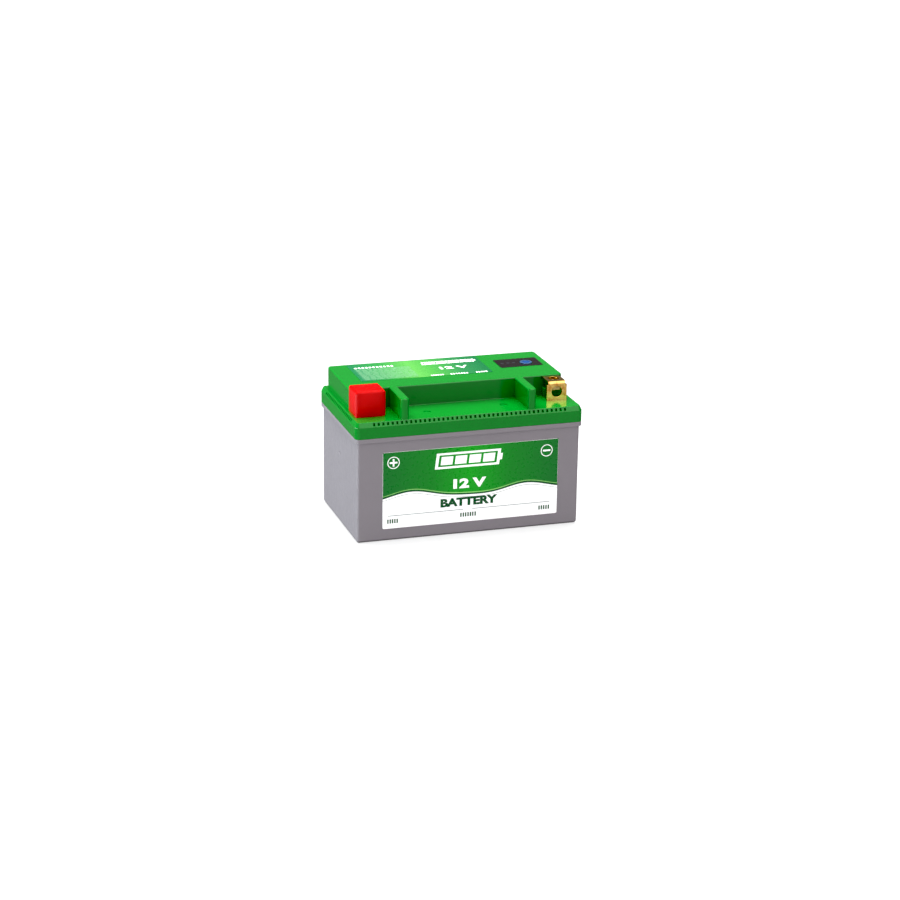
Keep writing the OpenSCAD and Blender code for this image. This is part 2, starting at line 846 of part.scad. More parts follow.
module balance_socket() {
    width = socket_width - 2 * socket_wall;
    color("white") difference() {
        translate([socket_x, socket_y, board_z - socket_height])
            linear_extrude(socket_height) square([socket_length, socket_width], center = true);
        cuboid([socket_mouth_x - overcut, socket_y - width / 2, board_z - socket_height + socket_wall],
               [socket_x + socket_length / 2 - socket_wall / 2, socket_y + width / 2, board_z - socket_wall]);
    }
}

module balance_plug() {
    nose_half = socket_width / 2 - socket_wall - fit_gap;
    body_half = nose_half + plug_side_rim;
    nose_low = board_z - socket_height + socket_wall + fit_gap;
    color("white") {
        cuboid([wire_start_x, socket_y - body_half, nose_low - plug_under_rim],
               [socket_mouth_x, socket_y + body_half, board_z - plug_top_gap]);
        cuboid([socket_mouth_x - overcut, socket_y - nose_half, nose_low],
               [socket_x + socket_length / 2 - socket_wall, socket_y + nose_half,
                board_z - socket_wall - fit_gap]);
    }
}

// Point on the smooth curve through b and c, at t from 0 to 1, with neighbours a and d
function between(a, b, c, d, t) =
    0.5 * (2 * b + (c - a) * t + (2 * a - 5 * b + 4 * c - d) * t * t
           + (3 * b - a - 3 * c + d) * t * t * t);

function smooth_path(points, steps) = let (last = len(points) - 1) [
    for (i = [0 : last - 1], s = [0 : steps - 1])
        between(points[max(i - 1, 0)], points[i], points[i + 1], points[min(i + 2, last)], s / steps),
    points[last]
];

// Round tube along a path; the path never runs straight along Y
module tube(path, r, sides) {
    count = len(path);
    rings = [
        for (i = [0 : count - 1])
            let (run = path[min(i + 1, count - 1)] - path[max(i - 1, 0)],
                 across = cross(run, [0, 1, 0]) / norm(cross(run, [0, 1, 0])),
                 up = cross(across, run) / norm(run))
            for (k = [0 : sides - 1])
                path[i] + r * (cos(360 * k / sides) * across + sin(360 * k / sides) * up)
    ];
    walls = [
        for (i = [0 : count - 2], k = [0 : sides - 1])
            let (next = (k + 1) % sides)
            [i * sides + next, i * sides + k, (i + 1) * sides + k, (i + 1) * sides + next]
    ];
    start_cap = [for (k = [0 : sides - 1]) k];
    end_cap = [for (k = [sides - 1 : -1 : 0]) (count - 1) * sides + k];
    polyhedron(points = rings, faces = concat(walls, [start_cap], [end_cap]));
}

module balance_wires() {
    color("firebrick") for (i = [0 : len(wire_routes) - 1]) {
        y = socket_y + ((len(wire_routes) - 1) / 2 - i) * wire_pitch;
        exit = [[wire_start_x, y, wire_z], [wire_start_x - wire_exit, y, wire_z]];
        tube(smooth_path(concat(exit, wire_routes[i]), wire_steps), wire_r, wire_sides);
    }
}

case();
lid();
front_label();
top_label();
status_panel();
test_button();
light_guide();
terminal_cap();
positive_terminal();
negative_terminal();
positive_nut();
negative_nut();
positive_seal();
negative_seal();
positive_strap();
negative_strap();
strap_rivets();
cell_1();
cell_2();
cell_3();
cell_4();
cell_pad_1();
cell_pad_2();
cell_pad_3();
cell_band();
tab_plate();
series_busbars();
bottom_foam();
front_foam();
rear_foam();
left_foam();
right_foam();
balance_board();
board_screws();
board_components();
status_leds();
tact_switch();
switch_plunger();
balance_socket();
balance_plug();
balance_wires();
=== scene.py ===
"""Looks of a motorcycle battery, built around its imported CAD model.

Shapes are worked out in millimetres and become metres when they are made into a mesh.
+X runs towards the negative terminal, -Y is the front with the label, +Z is up.
"""
import math

import bmesh
import bpy
from mathutils import Matrix, Vector, noise


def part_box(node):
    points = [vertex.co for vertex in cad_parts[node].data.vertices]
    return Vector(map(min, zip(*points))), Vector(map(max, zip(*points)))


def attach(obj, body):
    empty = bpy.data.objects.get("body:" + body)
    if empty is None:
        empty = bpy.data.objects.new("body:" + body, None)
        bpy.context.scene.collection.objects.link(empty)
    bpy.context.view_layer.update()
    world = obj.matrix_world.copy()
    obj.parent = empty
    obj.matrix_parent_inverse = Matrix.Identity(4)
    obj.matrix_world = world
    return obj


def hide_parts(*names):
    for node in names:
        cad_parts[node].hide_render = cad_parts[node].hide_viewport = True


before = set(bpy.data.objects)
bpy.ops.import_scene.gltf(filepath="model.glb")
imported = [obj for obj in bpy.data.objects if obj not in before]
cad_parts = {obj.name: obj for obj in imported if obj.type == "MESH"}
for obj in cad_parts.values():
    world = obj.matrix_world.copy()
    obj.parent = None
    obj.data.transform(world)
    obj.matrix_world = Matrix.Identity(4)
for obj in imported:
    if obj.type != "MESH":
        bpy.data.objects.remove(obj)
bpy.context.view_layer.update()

MM = 0.001
BATTERY = "battery"
CAP = "cap"
BUTTON = "button"
SMOOTH_ANGLE = math.radians(32)


def node_box(name):
    """Lowest and highest corner of a CAD node, in millimetres."""
    low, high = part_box(name)
    return low / MM, high / MM


case_low, case_high = node_box("case")
lid_high = node_box("lid")[1]
front_low, front_high = node_box("front_label")
top_low, top_high = node_box("top_label")
panel_low, panel_high = node_box("status_panel")
button_low, button_high = node_box("test_button")
cap_low, cap_high = node_box("terminal_cap")
guide_low, guide_high = node_box("light_guide")
board_low, board_high = node_box("balance_board")

# Dimensions that the boxes above don't give
LENGTH = case_high.x - case_low.x
DEPTH = case_high.y - case_low.y
SEAM_Z = case_high.z
LEDGE_Z = cap_low.z
PLATEAU_Z = lid_high.z
CORNER_R = 3
CASE_INSET = 1.4
LIP_HEIGHT = 3
CASE_WALL = 1.9
INNER_INSET = CASE_INSET + CASE_WALL
FLANGE_EDGE_Z = SEAM_Z + 7.5
BEVEL_INSET = 1.5
SMALL_PRINT_LEFT = -57
SMALL_PRINT_RIGHT = -19


# ---- Mesh helpers ----

def ring(low, high, radius, z, steps=8):
    """Points round a rounded rectangle, anticlockwise seen from above."""
    points = []
    for quarter, (side_x, side_y) in enumerate([(1, -1), (1, 1), (-1, 1), (-1, -1)]):
        centre_x = high[0] - radius if side_x > 0 else low[0] + radius
        centre_y = high[1] - radius if side_y > 0 else low[1] + radius
        for step in range(steps + 1):
            angle = math.radians(90 * (quarter - 1 + step / steps))
            points.append((centre_x + radius * math.cos(angle),
                           centre_y + radius * math.sin(angle), z))
    return points


def circle(centre, radius, z, steps=48):
    return [(centre[0] + radius * math.cos(math.tau * i / steps),
             centre[1] + radius * math.sin(math.tau * i / steps), z) for i in range(steps)]


def rounded_path(corners, steps=5):
    """Points along straight stretches; each corner is (x, y, radius of its rounding)."""
    points = []
    for i, (x, y, radius) in enumerate(corners):
        here = Vector((x, y))
        if radius == 0:
            points.append(here)
            continue
        before = (Vector(corners[i - 1][:2]) - here).normalized()
        after = (Vector(corners[i + 1][:2]) - here).normalized()
        half = before.angle(after) / 2
        centre = here + (before + after).normalized() * (radius / math.sin(half))
        start = here + before * (radius / math.tan(half)) - centre
        end = here + after * (radius / math.tan(half)) - centre
        sweep = start.angle(end)
        for step in range(steps + 1):
            t = step / steps
            points.append(centre + (start * math.sin((1 - t) * sweep)
                                    + end * math.sin(t * sweep)) / math.sin(sweep))
    return points


def add_object(name, data):
    made = bpy.data.objects.new(name, data)
    bpy.context.scene.collection.objects.link(made)
    return made


def make_object(name, vertices, faces, place=Matrix.Identity(4)):
    """Object in metres from vertices in millimetres."""
    mesh = bpy.data.meshes.new(name)
    mesh.from_pydata([(place @ Vector(v)) * MM for v in vertices], [], faces)
    build = bmesh.new()
    build.from_mesh(mesh)
    bmesh.ops.recalc_face_normals(build, faces=build.faces)
    build.to_mesh(mesh)
    build.free()
    return add_object(name, mesh)


def loft(name, rings, place=Matrix.Identity(4)):
    """Closed solid through rings of equally many points, with a face on the first and the last."""
    count = len(rings[0])
    vertices = [point for points in rings for point in points]
    faces = [tuple(reversed(range(count))), tuple(range(len(vertices) - count, len(vertices)))]
    for level in range(len(rings) - 1):
        for i in range(count):
            j = (i + 1) % count
            faces.append((level * count + i, level * count + j,
                          (level + 1) * count + j, (level + 1) * count + i))
    return make_object(name, vertices, faces, place)


def rounded_solid(name, low, high, radius, profile, steps=8, hold_front=False):
    """Loft of rounded rectangles; the profile's points are (inset, z).
    With hold_front, the front stays in line where the inset is negative."""
    rings = []
    for inset, z in profile:
        front = max(inset, 0) if hold_front else inset
        rings.append(ring((low[0] + inset, low[1] + front), (high[0] - inset, high[1] - inset),
                          max(radius - inset, 0.15), z, steps))
    return loft(name, rings)


def turned(name, profile, centre, place=Matrix.Identity(4), steps=48):
    """Solid of revolution about Z; the profile's points are (radius, z)."""
    return loft(name, [circle(centre, max(radius, 0.001), z, steps) for radius, z in profile], place)


def rod(name, centre, radius, low, high, place=Matrix.Identity(4), steps=48):
    return turned(name, [(radius, low), (radius, high)], centre, place, steps)


def block(name, low, high):
    corners = [(low[0], low[1]), (high[0], low[1]), (high[0], high[1]), (low[0], high[1])]
    return loft(name, [[(x, y, z) for x, y in corners] for z in (low[2], high[2])])


def strips_solid(name, strips, low, high, place=Matrix.Identity(4)):
    """Flat bands between two lines of equally many points, given depth from low to high.
    Each strip is (line, line, closed)."""
    vertices, faces = [], []
    for line, other, closed in strips:
        count, base = len(line), len(vertices)
        for level in (low, high):
            vertices += [(p[0], p[1], level) for p in list(line) + list(other)]

        def at(level, side, i):
            return base + (2 * level + side) * count + i % count

        for i in range(count if closed else count - 1):
            faces += [(at(1, 0, i), at(1, 0, i + 1), at(1, 1, i + 1), at(1, 1, i)),
                      (at(0, 0, i), at(0, 1, i), at(0, 1, i + 1), at(0, 0, i + 1)),
                      (at(0, 0, i), at(0, 0, i + 1), at(1, 0, i + 1), at(1, 0, i)),
                      (at(0, 1, i + 1), at(0, 1, i), at(1, 1, i), at(1, 1, i + 1))]
        if not closed:
            faces += [(at(0, 0, i), at(0, 1, i), at(1, 1, i), at(1, 0, i)) for i in (0, count - 1)]
    return make_object(name, vertices, faces, place)


def bar(x0, y0, x1, y1):
    """Strip over a rectangle."""
    return ([(x0, y0), (x1, y0)], [(x0, y1), (x1, y1)], False)


def hoop(x, y, radius, stroke):
    """Strip round a circle."""
    return (circle((x, y), radius - stroke / 2, 0), circle((x, y), radius + stroke / 2, 0), True)


def settle(piece):
    """Applies the piece's modifiers to its mesh."""
    graph = bpy.context.evaluated_depsgraph_get()
    piece.data = bpy.data.meshes.new_from_object(piece.evaluated_get(graph))
    piece.modifiers.clear()
    return piece


def combine(target, others, operation):
    """Exact boolean of the target with each of the others, which are then removed."""
    for other in others:
        step = target.modifiers.new("combine", "BOOLEAN")
        step.operation = operation
        step.solver = "EXACT"
        step.object = other
    settle(target)
    for other in others:
        bpy.data.objects.remove(other)
    return target


def join_meshes(name, pieces):
    """One object out of pieces that don't touch."""
    vertices, faces = [], []
    for piece in pieces:
        base = len(vertices)
        vertices += [v.co / MM for v in piece.data.vertices]
        faces += [tuple(base + i for i in p.vertices) for p in piece.data.polygons]
        bpy.data.objects.remove(piece)
    return make_object(name, vertices, faces)


def soften(piece, width, segments=2, angle=40):
    """Rounds the piece's sharp edges."""
    step = piece.modifiers.new("soften", "BEVEL")
    step.width = width * MM
    step.segments = segments
    step.limit_method = "ANGLE"
    step.angle_limit = math.radians(angle)
    step.use_clamp_overlap = True
    return settle(piece)


def dress(piece, body, slot, material, *replaced):
    """Shades the piece, gives it its material and fixes it to its CAD body."""
    mesh = piece.data
    mesh.shade_smooth()
    mesh.set_sharp_from_angle(angle=SMOOTH_ANGLE)
    weighted = piece.modifiers.new("weighted normals", "WEIGHTED_NORMAL")
    weighted.keep_sharp = True
    mesh.materials.clear()
    mesh.materials.append(material)
    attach(piece, body)
    if replaced:
        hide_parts(*replaced)
    return piece


# ---- Materials ----

class Nodes:
    """Node tree that grows call by call; sizes are in millimetres."""

    def __init__(self, tree, coordinates):
        self.tree = tree
        self.coordinates = self.add("ShaderNodeTexCoord").outputs[coordinates]

    def add(self, kind, **settings):
        made = self.tree.nodes.new(kind)
        for key, value in settings.items():
            setattr(made, key, value)
        return made

    def feed(self, source, target):
        """Sets an input to a number, a colour or another node's output."""
        if isinstance(source, bpy.types.NodeSocket):
            self.tree.links.new(source, target)
        elif isinstance(source, (tuple, list)) and len(source) == 3 and target.type == "RGBA":
            target.default_value = (*source, 1)
        else:
            target.default_value = source

    def stretched(self, stretch):
        """Object coordinates scaled along each axis."""
        mapping = self.add("ShaderNodeMapping")
        self.feed(self.coordinates, mapping.inputs["Vector"])
        self.feed(stretch, mapping.inputs["Scale"])
        return mapping.outputs["Vector"]

    def noise(self, size, detail=3, stretch=None, roughness=0.55):
        """Soft noise with features of about that size."""
        made = self.add("ShaderNodeTexNoise")
        source = self.stretched(stretch) if stretch else self.coordinates
        self.feed(source, made.inputs["Vector"])
        self.feed(1 / (size * MM), made.inputs["Scale"])
        self.feed(detail, made.inputs["Detail"])
        self.feed(roughness, made.inputs["Roughness"])
        return made.outputs["Fac"]

    def cells(self, size, feature="F1"):
        """Distance to the middle of cells of about that size."""
        made = self.add("ShaderNodeTexVoronoi", feature=feature)
        self.feed(self.coordinates, made.inputs["Vector"])
        self.feed(1 / (size * MM), made.inputs["Scale"])
        return made.outputs["Distance"]

    def ramp(self, source, low, high, start=0.0, end=1.0, smooth=False):
        """Numbers from low to high as the source goes from start to end."""
        made = self.add("ShaderNodeMapRange")
        made.interpolation_type = "SMOOTHSTEP" if smooth else "LINEAR"
        for key, value in (("Value", source), ("From Min", start), ("From Max", end),
                           ("To Min", low), ("To Max", high)):
            self.feed(value, made.inputs[key])
        return made.outputs["Result"]

    def mix(self, share, first, second):
        """Colour that goes from first to second."""
        made = self.add("ShaderNodeMix", data_type="RGBA")
        self.feed(share, made.inputs["Factor"])
        colours = [socket for socket in made.inputs if socket.type == "RGBA"]
        self.feed(first, colours[0])
        self.feed(second, colours[1])
        return [socket for socket in made.outputs if socket.type == "RGBA"][0]

    def math(self, operation, first, second=0.0):
        made = self.add("ShaderNodeMath", operation=operation)
        self.feed(first, made.inputs[0])
        self.feed(second, made.inputs[1])
        return made.outputs[0]

    def axis(self, name):
        """One coordinate; an object's are in metres."""
        made = self.add("ShaderNodeSeparateXYZ")
        self.feed(self.coordinates, made.inputs["Vector"])
        return made.outputs[name]

    def patches(self, size, detail, low, high):
        """Numbers from low to high in soft patches of about that size."""
        return self.ramp(self.noise(size, detail), low, high, 0.35, 0.65)

    def stops(self, source, *pairs):
        """Colour ramp; each pair is (place from 0 to 1, colour)."""
        made = self.add("ShaderNodeValToRGB")
        self.feed(source, made.inputs["Fac"])
        elements = made.color_ramp.elements
        while len(elements) < len(pairs):
            elements.new(0.5)
        for element, (place, colour) in zip(elements, sorted(pairs)):
            element.position = place
            element.color = (*colour, 1)
        return made.outputs["Color"]


class Shader(Nodes):
    """A node material around one Principled BSDF."""

    def __init__(self, name, **inputs):
        self.material = bpy.data.materials.new(name)
        self.material.use_nodes = True
        super().__init__(self.material.node_tree, "Object")
        self.surface = self.tree.nodes["Principled BSDF"]
        for key, value in inputs.items():
            self.set(key.replace("_", " "), value)

    def set(self, name, source):
        self.feed(source, self.surface.inputs[name])

    def bump(self, *layers):
        """Bumps from (height source, height in millimetres) pairs."""
        normal = None
        for height, depth in layers:
            made = self.add("ShaderNodeBump")
            self.feed(height, made.inputs["Height"])
            self.feed(1.0, made.inputs["Strength"])
            self.feed(depth * MM, made.inputs["Distance"])
            if normal is not None:
                self.feed(normal, made.inputs["Normal"])
            normal = made.outputs["Normal"]
        self.set("Normal", normal)

    def finish(self, colour, roughness, *layers):
        """The material, with this colour, roughness and these bumps."""
        self.set("Base Color", colour)
        self.set("Roughness", roughness)
        self.bump(*layers)
        return self.material


def tinted(colour, amount):
    """The colour made darker or, above 1, lighter."""
    return tuple(min(channel * amount, 1) for channel in colour)


def case_plastic():
    colour = (0.17, 0.156, 0.17)
    look = Shader("case plastic", IOR=1.46)
    cloud = look.noise(14, 4)
    grain = look.noise(0.45, 5, roughness=0.7)
    even = look.mix(cloud, tinted(colour, 0.96), tinted(colour, 1.04))
    # Painted contact shadow: dark only right at the foot, where the case meets the ground
    foot_shadow_fade = look.ramp(look.axis("Z"), 0, 1, 0.5 * MM, 1.6 * MM, True)
    return look.finish(look.mix(foot_shadow_fade, tinted(colour, 0.2), even),
                       look.patches(3, 6, 0.36, 0.5),
                       (grain, 0.012), (cloud, 0.05))


def lid_plastic():
    colour = (0.0025, 0.146, 0.012)
    look = Shader("lid plastic", IOR=1.5, Specular_IOR_Level=0.4)
    flow = look.noise(9, 3, (1, 1, 0.4))
    scuffs = look.noise(1.1, 7, (3, 1, 1), 0.75)
    return look.finish(look.mix(flow, tinted(colour, 0.95), tinted(colour, 1.06)),
                       look.ramp(scuffs, 0.13, 0.3, 0.45, 0.75),
                       (look.noise(2.2, 2), 0.006), (look.noise(0.35, 3), 0.0015))


def cap_vinyl():
    colour = (0.4, 0.0008, 0.0008)
    look = Shader("cap vinyl", IOR=1.48, Specular_IOR_Level=0.2)
    cloud = look.noise(5, 4)
    return look.finish(look.mix(cloud, tinted(colour, 0.9), tinted(colour, 1.05)),
                       look.patches(1.5, 5, 0.34, 0.5),
                       (look.noise(0.6, 4, roughness=0.65), 0.014), (cloud, 0.08))


def brass(name, colour, tarnish, stretch):
    look = Shader(name, Metallic=1.0)
    stain = look.noise(2.6, 6, roughness=0.7)
    brushed = look.noise(0.5, 4, stretch, 0.7)
    spots = look.ramp(look.cells(1.3), 1, 0, 0.06, 0.22, True)
    aged = look.mix(look.ramp(stain, 0, 1, 0.42, 0.68, True), colour, tarnish)
    return look.finish(look.mix(look.math("MULTIPLY", spots, 0.35), aged, tinted(tarnish, 0.6)),
                       look.ramp(stain, 0.13, 0.28, 0.35, 0.7), (brushed, 0.008), (stain, 0.02))


def film(name, colour_source):
    """Printed film; colour_source makes its colour out of the shader."""
    look = Shader(name, IOR=1.5, Specular_IOR_Level=0.35)
    return look.finish(colour_source(look), look.patches(2.5, 5, 0.24, 0.38),
                       (look.noise(5, 3), 0.012), (look.noise(0.25, 2), 0.0012))


def plain_ink(name, colour):
    def mottled(look):
        return look.mix(look.noise(0.5, 4), tinted(colour, 0.93), colour)

    return film(name, mottled)


def along_x(look, low, high):
    """0 at low and 1 at high along X, in millimetres."""
    return look.ramp(look.axis("X"), 0, 1, low * MM, high * MM)


def dotted(look, colour_source):
    """Colour with the faint dots of a screen print."""
    spacing, strength = 0.35, 0.012
    dots = look.ramp(look.cells(spacing), 0.0, strength, 0.1, 0.35)
    return look.mix(dots, colour_source, (0.0, 0.05, 0.01))


def front_green(look):
    edge = (0.004, 0.125, 0.015)
    side = (0.004, 0.175, 0.011)
    middle = (0.004, 0.28, 0.008)
    shade = look.stops(along_x(look, front_low.x, front_high.x),
                       (0.0, edge), (0.28, side), (0.5, middle), (0.72, side), (1.0, edge))
    return dotted(look, shade)


def top_green(look):
    shade = look.stops(along_x(look, top_low.x, top_high.x),
                       (0.0, (0.008, 0.12, 0.043)), (0.25, (0.02, 0.18, 0.035)),
                       (0.45, (0.072, 0.28, 0.05)), (0.58, (0.043, 0.235, 0.036)),
                       (0.8, (0.016, 0.132, 0.041)), (1.0, (0.004, 0.096, 0.029)))
    return dotted(look, shade)


def small_print_ground(look):
    """Paler green behind the small print, which fades into the label's own colour."""
    return look.stops(along_x(look, SMALL_PRINT_LEFT, SMALL_PRINT_RIGHT),
                      (0.0, (0.024, 0.14, 0.063)), (0.4, (0.034, 0.175, 0.057)),
                      (0.8, (0.06, 0.245, 0.055)), (1.0, (0.072, 0.275, 0.051)))


def metal(name, colour, roughness, stretch=(1, 6, 6)):
    look = Shader(name, Metallic=1.0)
    grain = look.noise(0.6, 5, stretch, 0.7)
    return look.finish(look.mix(look.noise(4, 4), tinted(colour, 0.85), colour),
                       look.ramp(grain, roughness * 0.7, roughness * 1.3, 0.3, 0.7), (grain, 0.006))


def plastic(name, colour, roughness=0.4, grain=0.5, height=0.01):
    look = Shader(name, IOR=1.5)
    return look.finish(look.mix(look.noise(6, 4), tinted(colour, 0.88), tinted(colour, 1.05)),
                       look.patches(1.8, 5, roughness * 0.85, roughness * 1.15),
                       (look.noise(grain, 4, roughness=0.7), height))


def foam(name, colour, size):
    look = Shader(name, IOR=1.4)
    bubbles = look.cells(size)
    pitted = look.ramp(bubbles, 0, 1, 0.1, 0.6)
    return look.finish(look.mix(pitted, tinted(colour, 1.15), tinted(colour, 0.6)),
                       look.ramp(bubbles, 0.75, 0.95, 0.1, 0.6),
                       (bubbles, size * 0.35), (look.noise(8, 3), 0.3))


def pouch_foil():
    look = Shader("pouch foil", Metallic=1.0)
    creases = look.cells(7, "SMOOTH_F1")
    return look.finish(look.mix(look.noise(12, 4), (0.58, 0.61, 0.66), (0.74, 0.76, 0.79)),
                       look.patches(2, 6, 0.24, 0.42),
                       (creases, 0.12), (look.noise(0.7, 4), 0.01))


def board_laminate():
    look = Shader("board laminate", IOR=1.55)
    weave = look.math("ADD", look.noise(0.6, 2, (6, 1, 1)), look.noise(0.6, 2, (1, 6, 1)))
    woven = look.ramp(weave, 0, 1, 0.7, 1.3)
    return look.finish(look.mix(woven, (0.008, 0.11, 0.04), (0.02, 0.2, 0.07)),
                       look.patches(3, 4, 0.25, 0.4), (weave, 0.01))


def clear_plastic(name, colour, transmission):
    look = Shader(name, IOR=1.49, Transmission_Weight=transmission)
    return look.finish(look.mix(look.noise(2, 3), tinted(colour, 0.92), colour),
                       look.patches(1, 4, 0.08, 0.2),
                       (look.noise(0.8, 2), 0.004))


def tape():
    look = Shader("polyimide tape", IOR=1.6)
    ripple = look.noise(3, 3, (1, 1, 0.2))
    return look.finish(look.mix(ripple, (0.5, 0.28, 0.05), (0.72, 0.45, 0.1)),
                       look.ramp(ripple, 0.15, 0.3, 0.35, 0.65), (ripple, 0.04))


CASE_PLASTIC = case_plastic()
LID_PLASTIC = lid_plastic()
CAP_VINYL = cap_vinyl()
TERMINAL_BRASS = brass("terminal brass", (0.92, 0.66, 0.2), (0.66, 0.3, 0.07), (8, 8, 1))
# Darker than the terminal's brass: partly a duller nut, partly painted shade for the nut's place inside
# the terminal's channel
SHADED_NUT_BRASS = brass("nut brass", (0.62, 0.45, 0.19), (0.36, 0.2, 0.08), (1, 1, 8))
FRONT_GREEN = film("front label green", front_green)
FRONT_WHITE = plain_ink("front label white", (0.94, 0.94, 0.94))
INK_WHITE = plain_ink("white ink", (0.9, 0.92, 0.89))
INK_DARK = plain_ink("dark green ink", (0.002, 0.065, 0.014))
INK_LIGHT = plain_ink("light green ink", (0.22, 0.55, 0.14))
INK_GREY = plain_ink("grey ink", (0.13, 0.17, 0.15))
TOP_GREEN = film("top label green", top_green)
INK_PALE = film("pale block", small_print_ground)
INK_PALE_LINE = plain_ink("pale lines", (0.14, 0.3, 0.16))
PANEL_FILM = plastic("panel film", (0.0075, 0.005, 0.0055), 0.2, 1.2, 0.003)
BUTTON_BLUE = plastic("button blue", (0.004, 0.04, 0.155), 0.3, 0.4, 0.004)
BUTTON_RIM = plastic("button rim blue", (0.03, 0.07, 0.15), 0.35, 0.4, 0.004)
SEAL_RUBBER = plastic("seal rubber", (0.02, 0.02, 0.02), 0.6, 0.3, 0.02)
NICKEL = metal("nickel strap", (0.66, 0.64, 0.6), 0.3)
STEEL = metal("zinc steel", (0.6, 0.61, 0.62), 0.35, (5, 5, 1))
POUCH_FOIL = pouch_foil()
FOAM = foam("black foam", (0.035, 0.035, 0.038), 1.1)
PAD_FOAM = foam("pad foam", (0.72, 0.68, 0.58), 0.8)
TAPE = tape()
NYLON = plastic("white nylon", (0.72, 0.71, 0.66), 0.45, 0.7, 0.01)
LAMINATE = board_laminate()
CHIP_EPOXY = plastic("chip epoxy", (0.018, 0.018, 0.02), 0.5, 0.25, 0.01)
LED_EPOXY = clear_plastic("led epoxy", (0.85, 0.92, 0.82), 0.3)
SMOKED = plastic("smoked window", (0.02, 0.022, 0.026), 0.12, 0.8, 0.003)
SWITCH = plastic("switch plastic", (0.05, 0.05, 0.055), 0.4, 0.3, 0.008)
WIRE = plastic("wire jacket", (0.42, 0.012, 0.012), 0.5, 0.4, 0.01)

# CAD nodes that are shown as they are
CAD_LOOKS = (
    (SEAL_RUBBER, "positive_seal negative_seal"),
    (NICKEL, "positive_strap negative_strap series_busbars"),
    (STEEL, "strap_rivets board_screws"),
    (POUCH_FOIL, "cell_1 cell_2 cell_3 cell_4"),
    (PAD_FOAM, "cell_pad_1 cell_pad_2 cell_pad_3"),
    (FOAM, "bottom_foam front_foam rear_foam left_foam right_foam"),
    (TAPE, "cell_band"),
    (NYLON, "tab_plate balance_socket balance_plug"),
    (LAMINATE, "balance_board"),
    (CHIP_EPOXY, "board_components"),
    (LED_EPOXY, "status_leds"),
    (SMOKED, "light_guide"),
    (SWITCH, "tact_switch switch_plunger"),
    (WIRE, "balance_wires"),
)


def dress_cad_nodes():
    for material, names in CAD_LOOKS:
        for name in names.split():
            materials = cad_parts[name].data.materials
            materials.clear()
            materials.append(material)


# ---- Case ----

def case_shell():
    bottom_r = 2
    lip_z = SEAM_Z - LIP_HEIGHT
    profile = rounded_path([
        (6, 0, 0), (CASE_INSET, 0, bottom_r), (CASE_INSET, lip_z, 0.25),
        (0, lip_z, 0.45), (0, SEAM_Z, 0.5), (INNER_INSET, SEAM_Z, 0.12),
        (INNER_INSET, CASE_WALL, 0.8), (INNER_INSET + 3, CASE_WALL, 0)])
    shell = rounded_solid("case_shell", case_low, case_high, CORNER_R, profile, 10)
    # Mark of the moulding gate: a shallow dish with a nub in its middle
    wall_x = case_low.x + CASE_INSET
    gate_z = 46.7
    aim = Matrix.Translation((wall_x, 0, gate_z)) @ Matrix.Rotation(math.radians(-90), 4, "Y")
    dish = turned("dish", [(0.25, 0.4), (1.75, 0.4), (1.6, 0), (1.2, -0.3), (0.5, -0.34),
                           (0.42, -0.12), (0.25, -0.08)], (0, 0), aim)
    combine(shell, [dish], "DIFFERENCE")
    return dress(shell, BATTERY, "case_plastic", CASE_PLASTIC, "case")


# ---- Lid ----

PLATEAU_LOW = (case_low.x + 4, -14.5)
PLATEAU_HIGH = (case_high.x - 4, case_high.y - 2.8)
PLATEAU_WALL_X = 2
PLATEAU_WALL_Y = 2.4
RIB_XS = (-42.5, 41.3)
RIB_WIDTH = 5.6
RIB_FRONT = case_low.y + 1.8
LEDGE_UNDER_Z = LEDGE_Z - 2.2
PLATEAU_UNDER_Z = PLATEAU_Z - 2
# How far the lid's cutters go past the walls that they cut
OVERCUT = 1

# Terminals, their nuts and the cap over the positive one
TERMINAL_XS = (-63, 63)
TERMINAL_WIDTH = 13.6
TERMINAL_FRONT = -27
TERMINAL_TOP = 92.2
SHEET = 1.6
CHANNEL_FRONT = TERMINAL_FRONT + SHEET
BOLT_HOLE_R = 3.5
NUT_HALF = 5
NUT_HEIGHT = 5
NUT_PLAY = 0.2
NUT_Y = (CHANNEL_FRONT + PLATEAU_LOW[1]) / 2
NUT_REST_Z = TERMINAL_TOP - SHEET - NUT_PLAY - NUT_HEIGHT
CAP_WALL = 1.2

# Charge windows and test button
WINDOW_PITCH = 4
WINDOW_R = 1.3
WINDOW_XS = [(guide_low.x + guide_high.x) / 2 + i * WINDOW_PITCH for i in (-1, 0, 1)]
WINDOW_Y = (panel_low.y + panel_high.y) / 2
BUTTON_CENTRE = ((button_low.x + button_high.x) / 2, (button_low.y + button_high.y) / 2)


def raised(name, low, high, radius, top, edge_r, hold_front=False):
    """Block that stands on the ledge, with a fillet round its foot and a rounded top edge."""
    sunk = LEDGE_Z - 0.04
    profile = rounded_path([(-0.8, LEDGE_Z - 0.5, 0), (-0.8, sunk, 0), (0, sunk, 0.3),
                            (0, top, edge_r), (edge_r + 0.6, top, 0)], 6)
    return rounded_solid(name, low, high, radius, profile, 6, hold_front)


def pocket_cutter(x, front, turn):
    """Block that cuts one pocket, narrower at its far end; the turn goes round the lid."""
    half, height, reach, taper = 0.7, 1.8, 2.1, 0.2
    low_z = LEDGE_Z - 2.4
    high_z = low_z + height
    rings = []
    for y, inset in ((front - 1, 0), (front + reach - taper, 0), (front + reach, taper)):
        left, right = x - (half - inset), x + (half - inset)
        low, high = low_z + inset, high_z - inset
        rings.append([(left, y, low), (right, y, low), (right, y, high), (left, y, high)])
    return loft("pocket", rings, Matrix.Rotation(math.radians(turn), 4, "Z"))


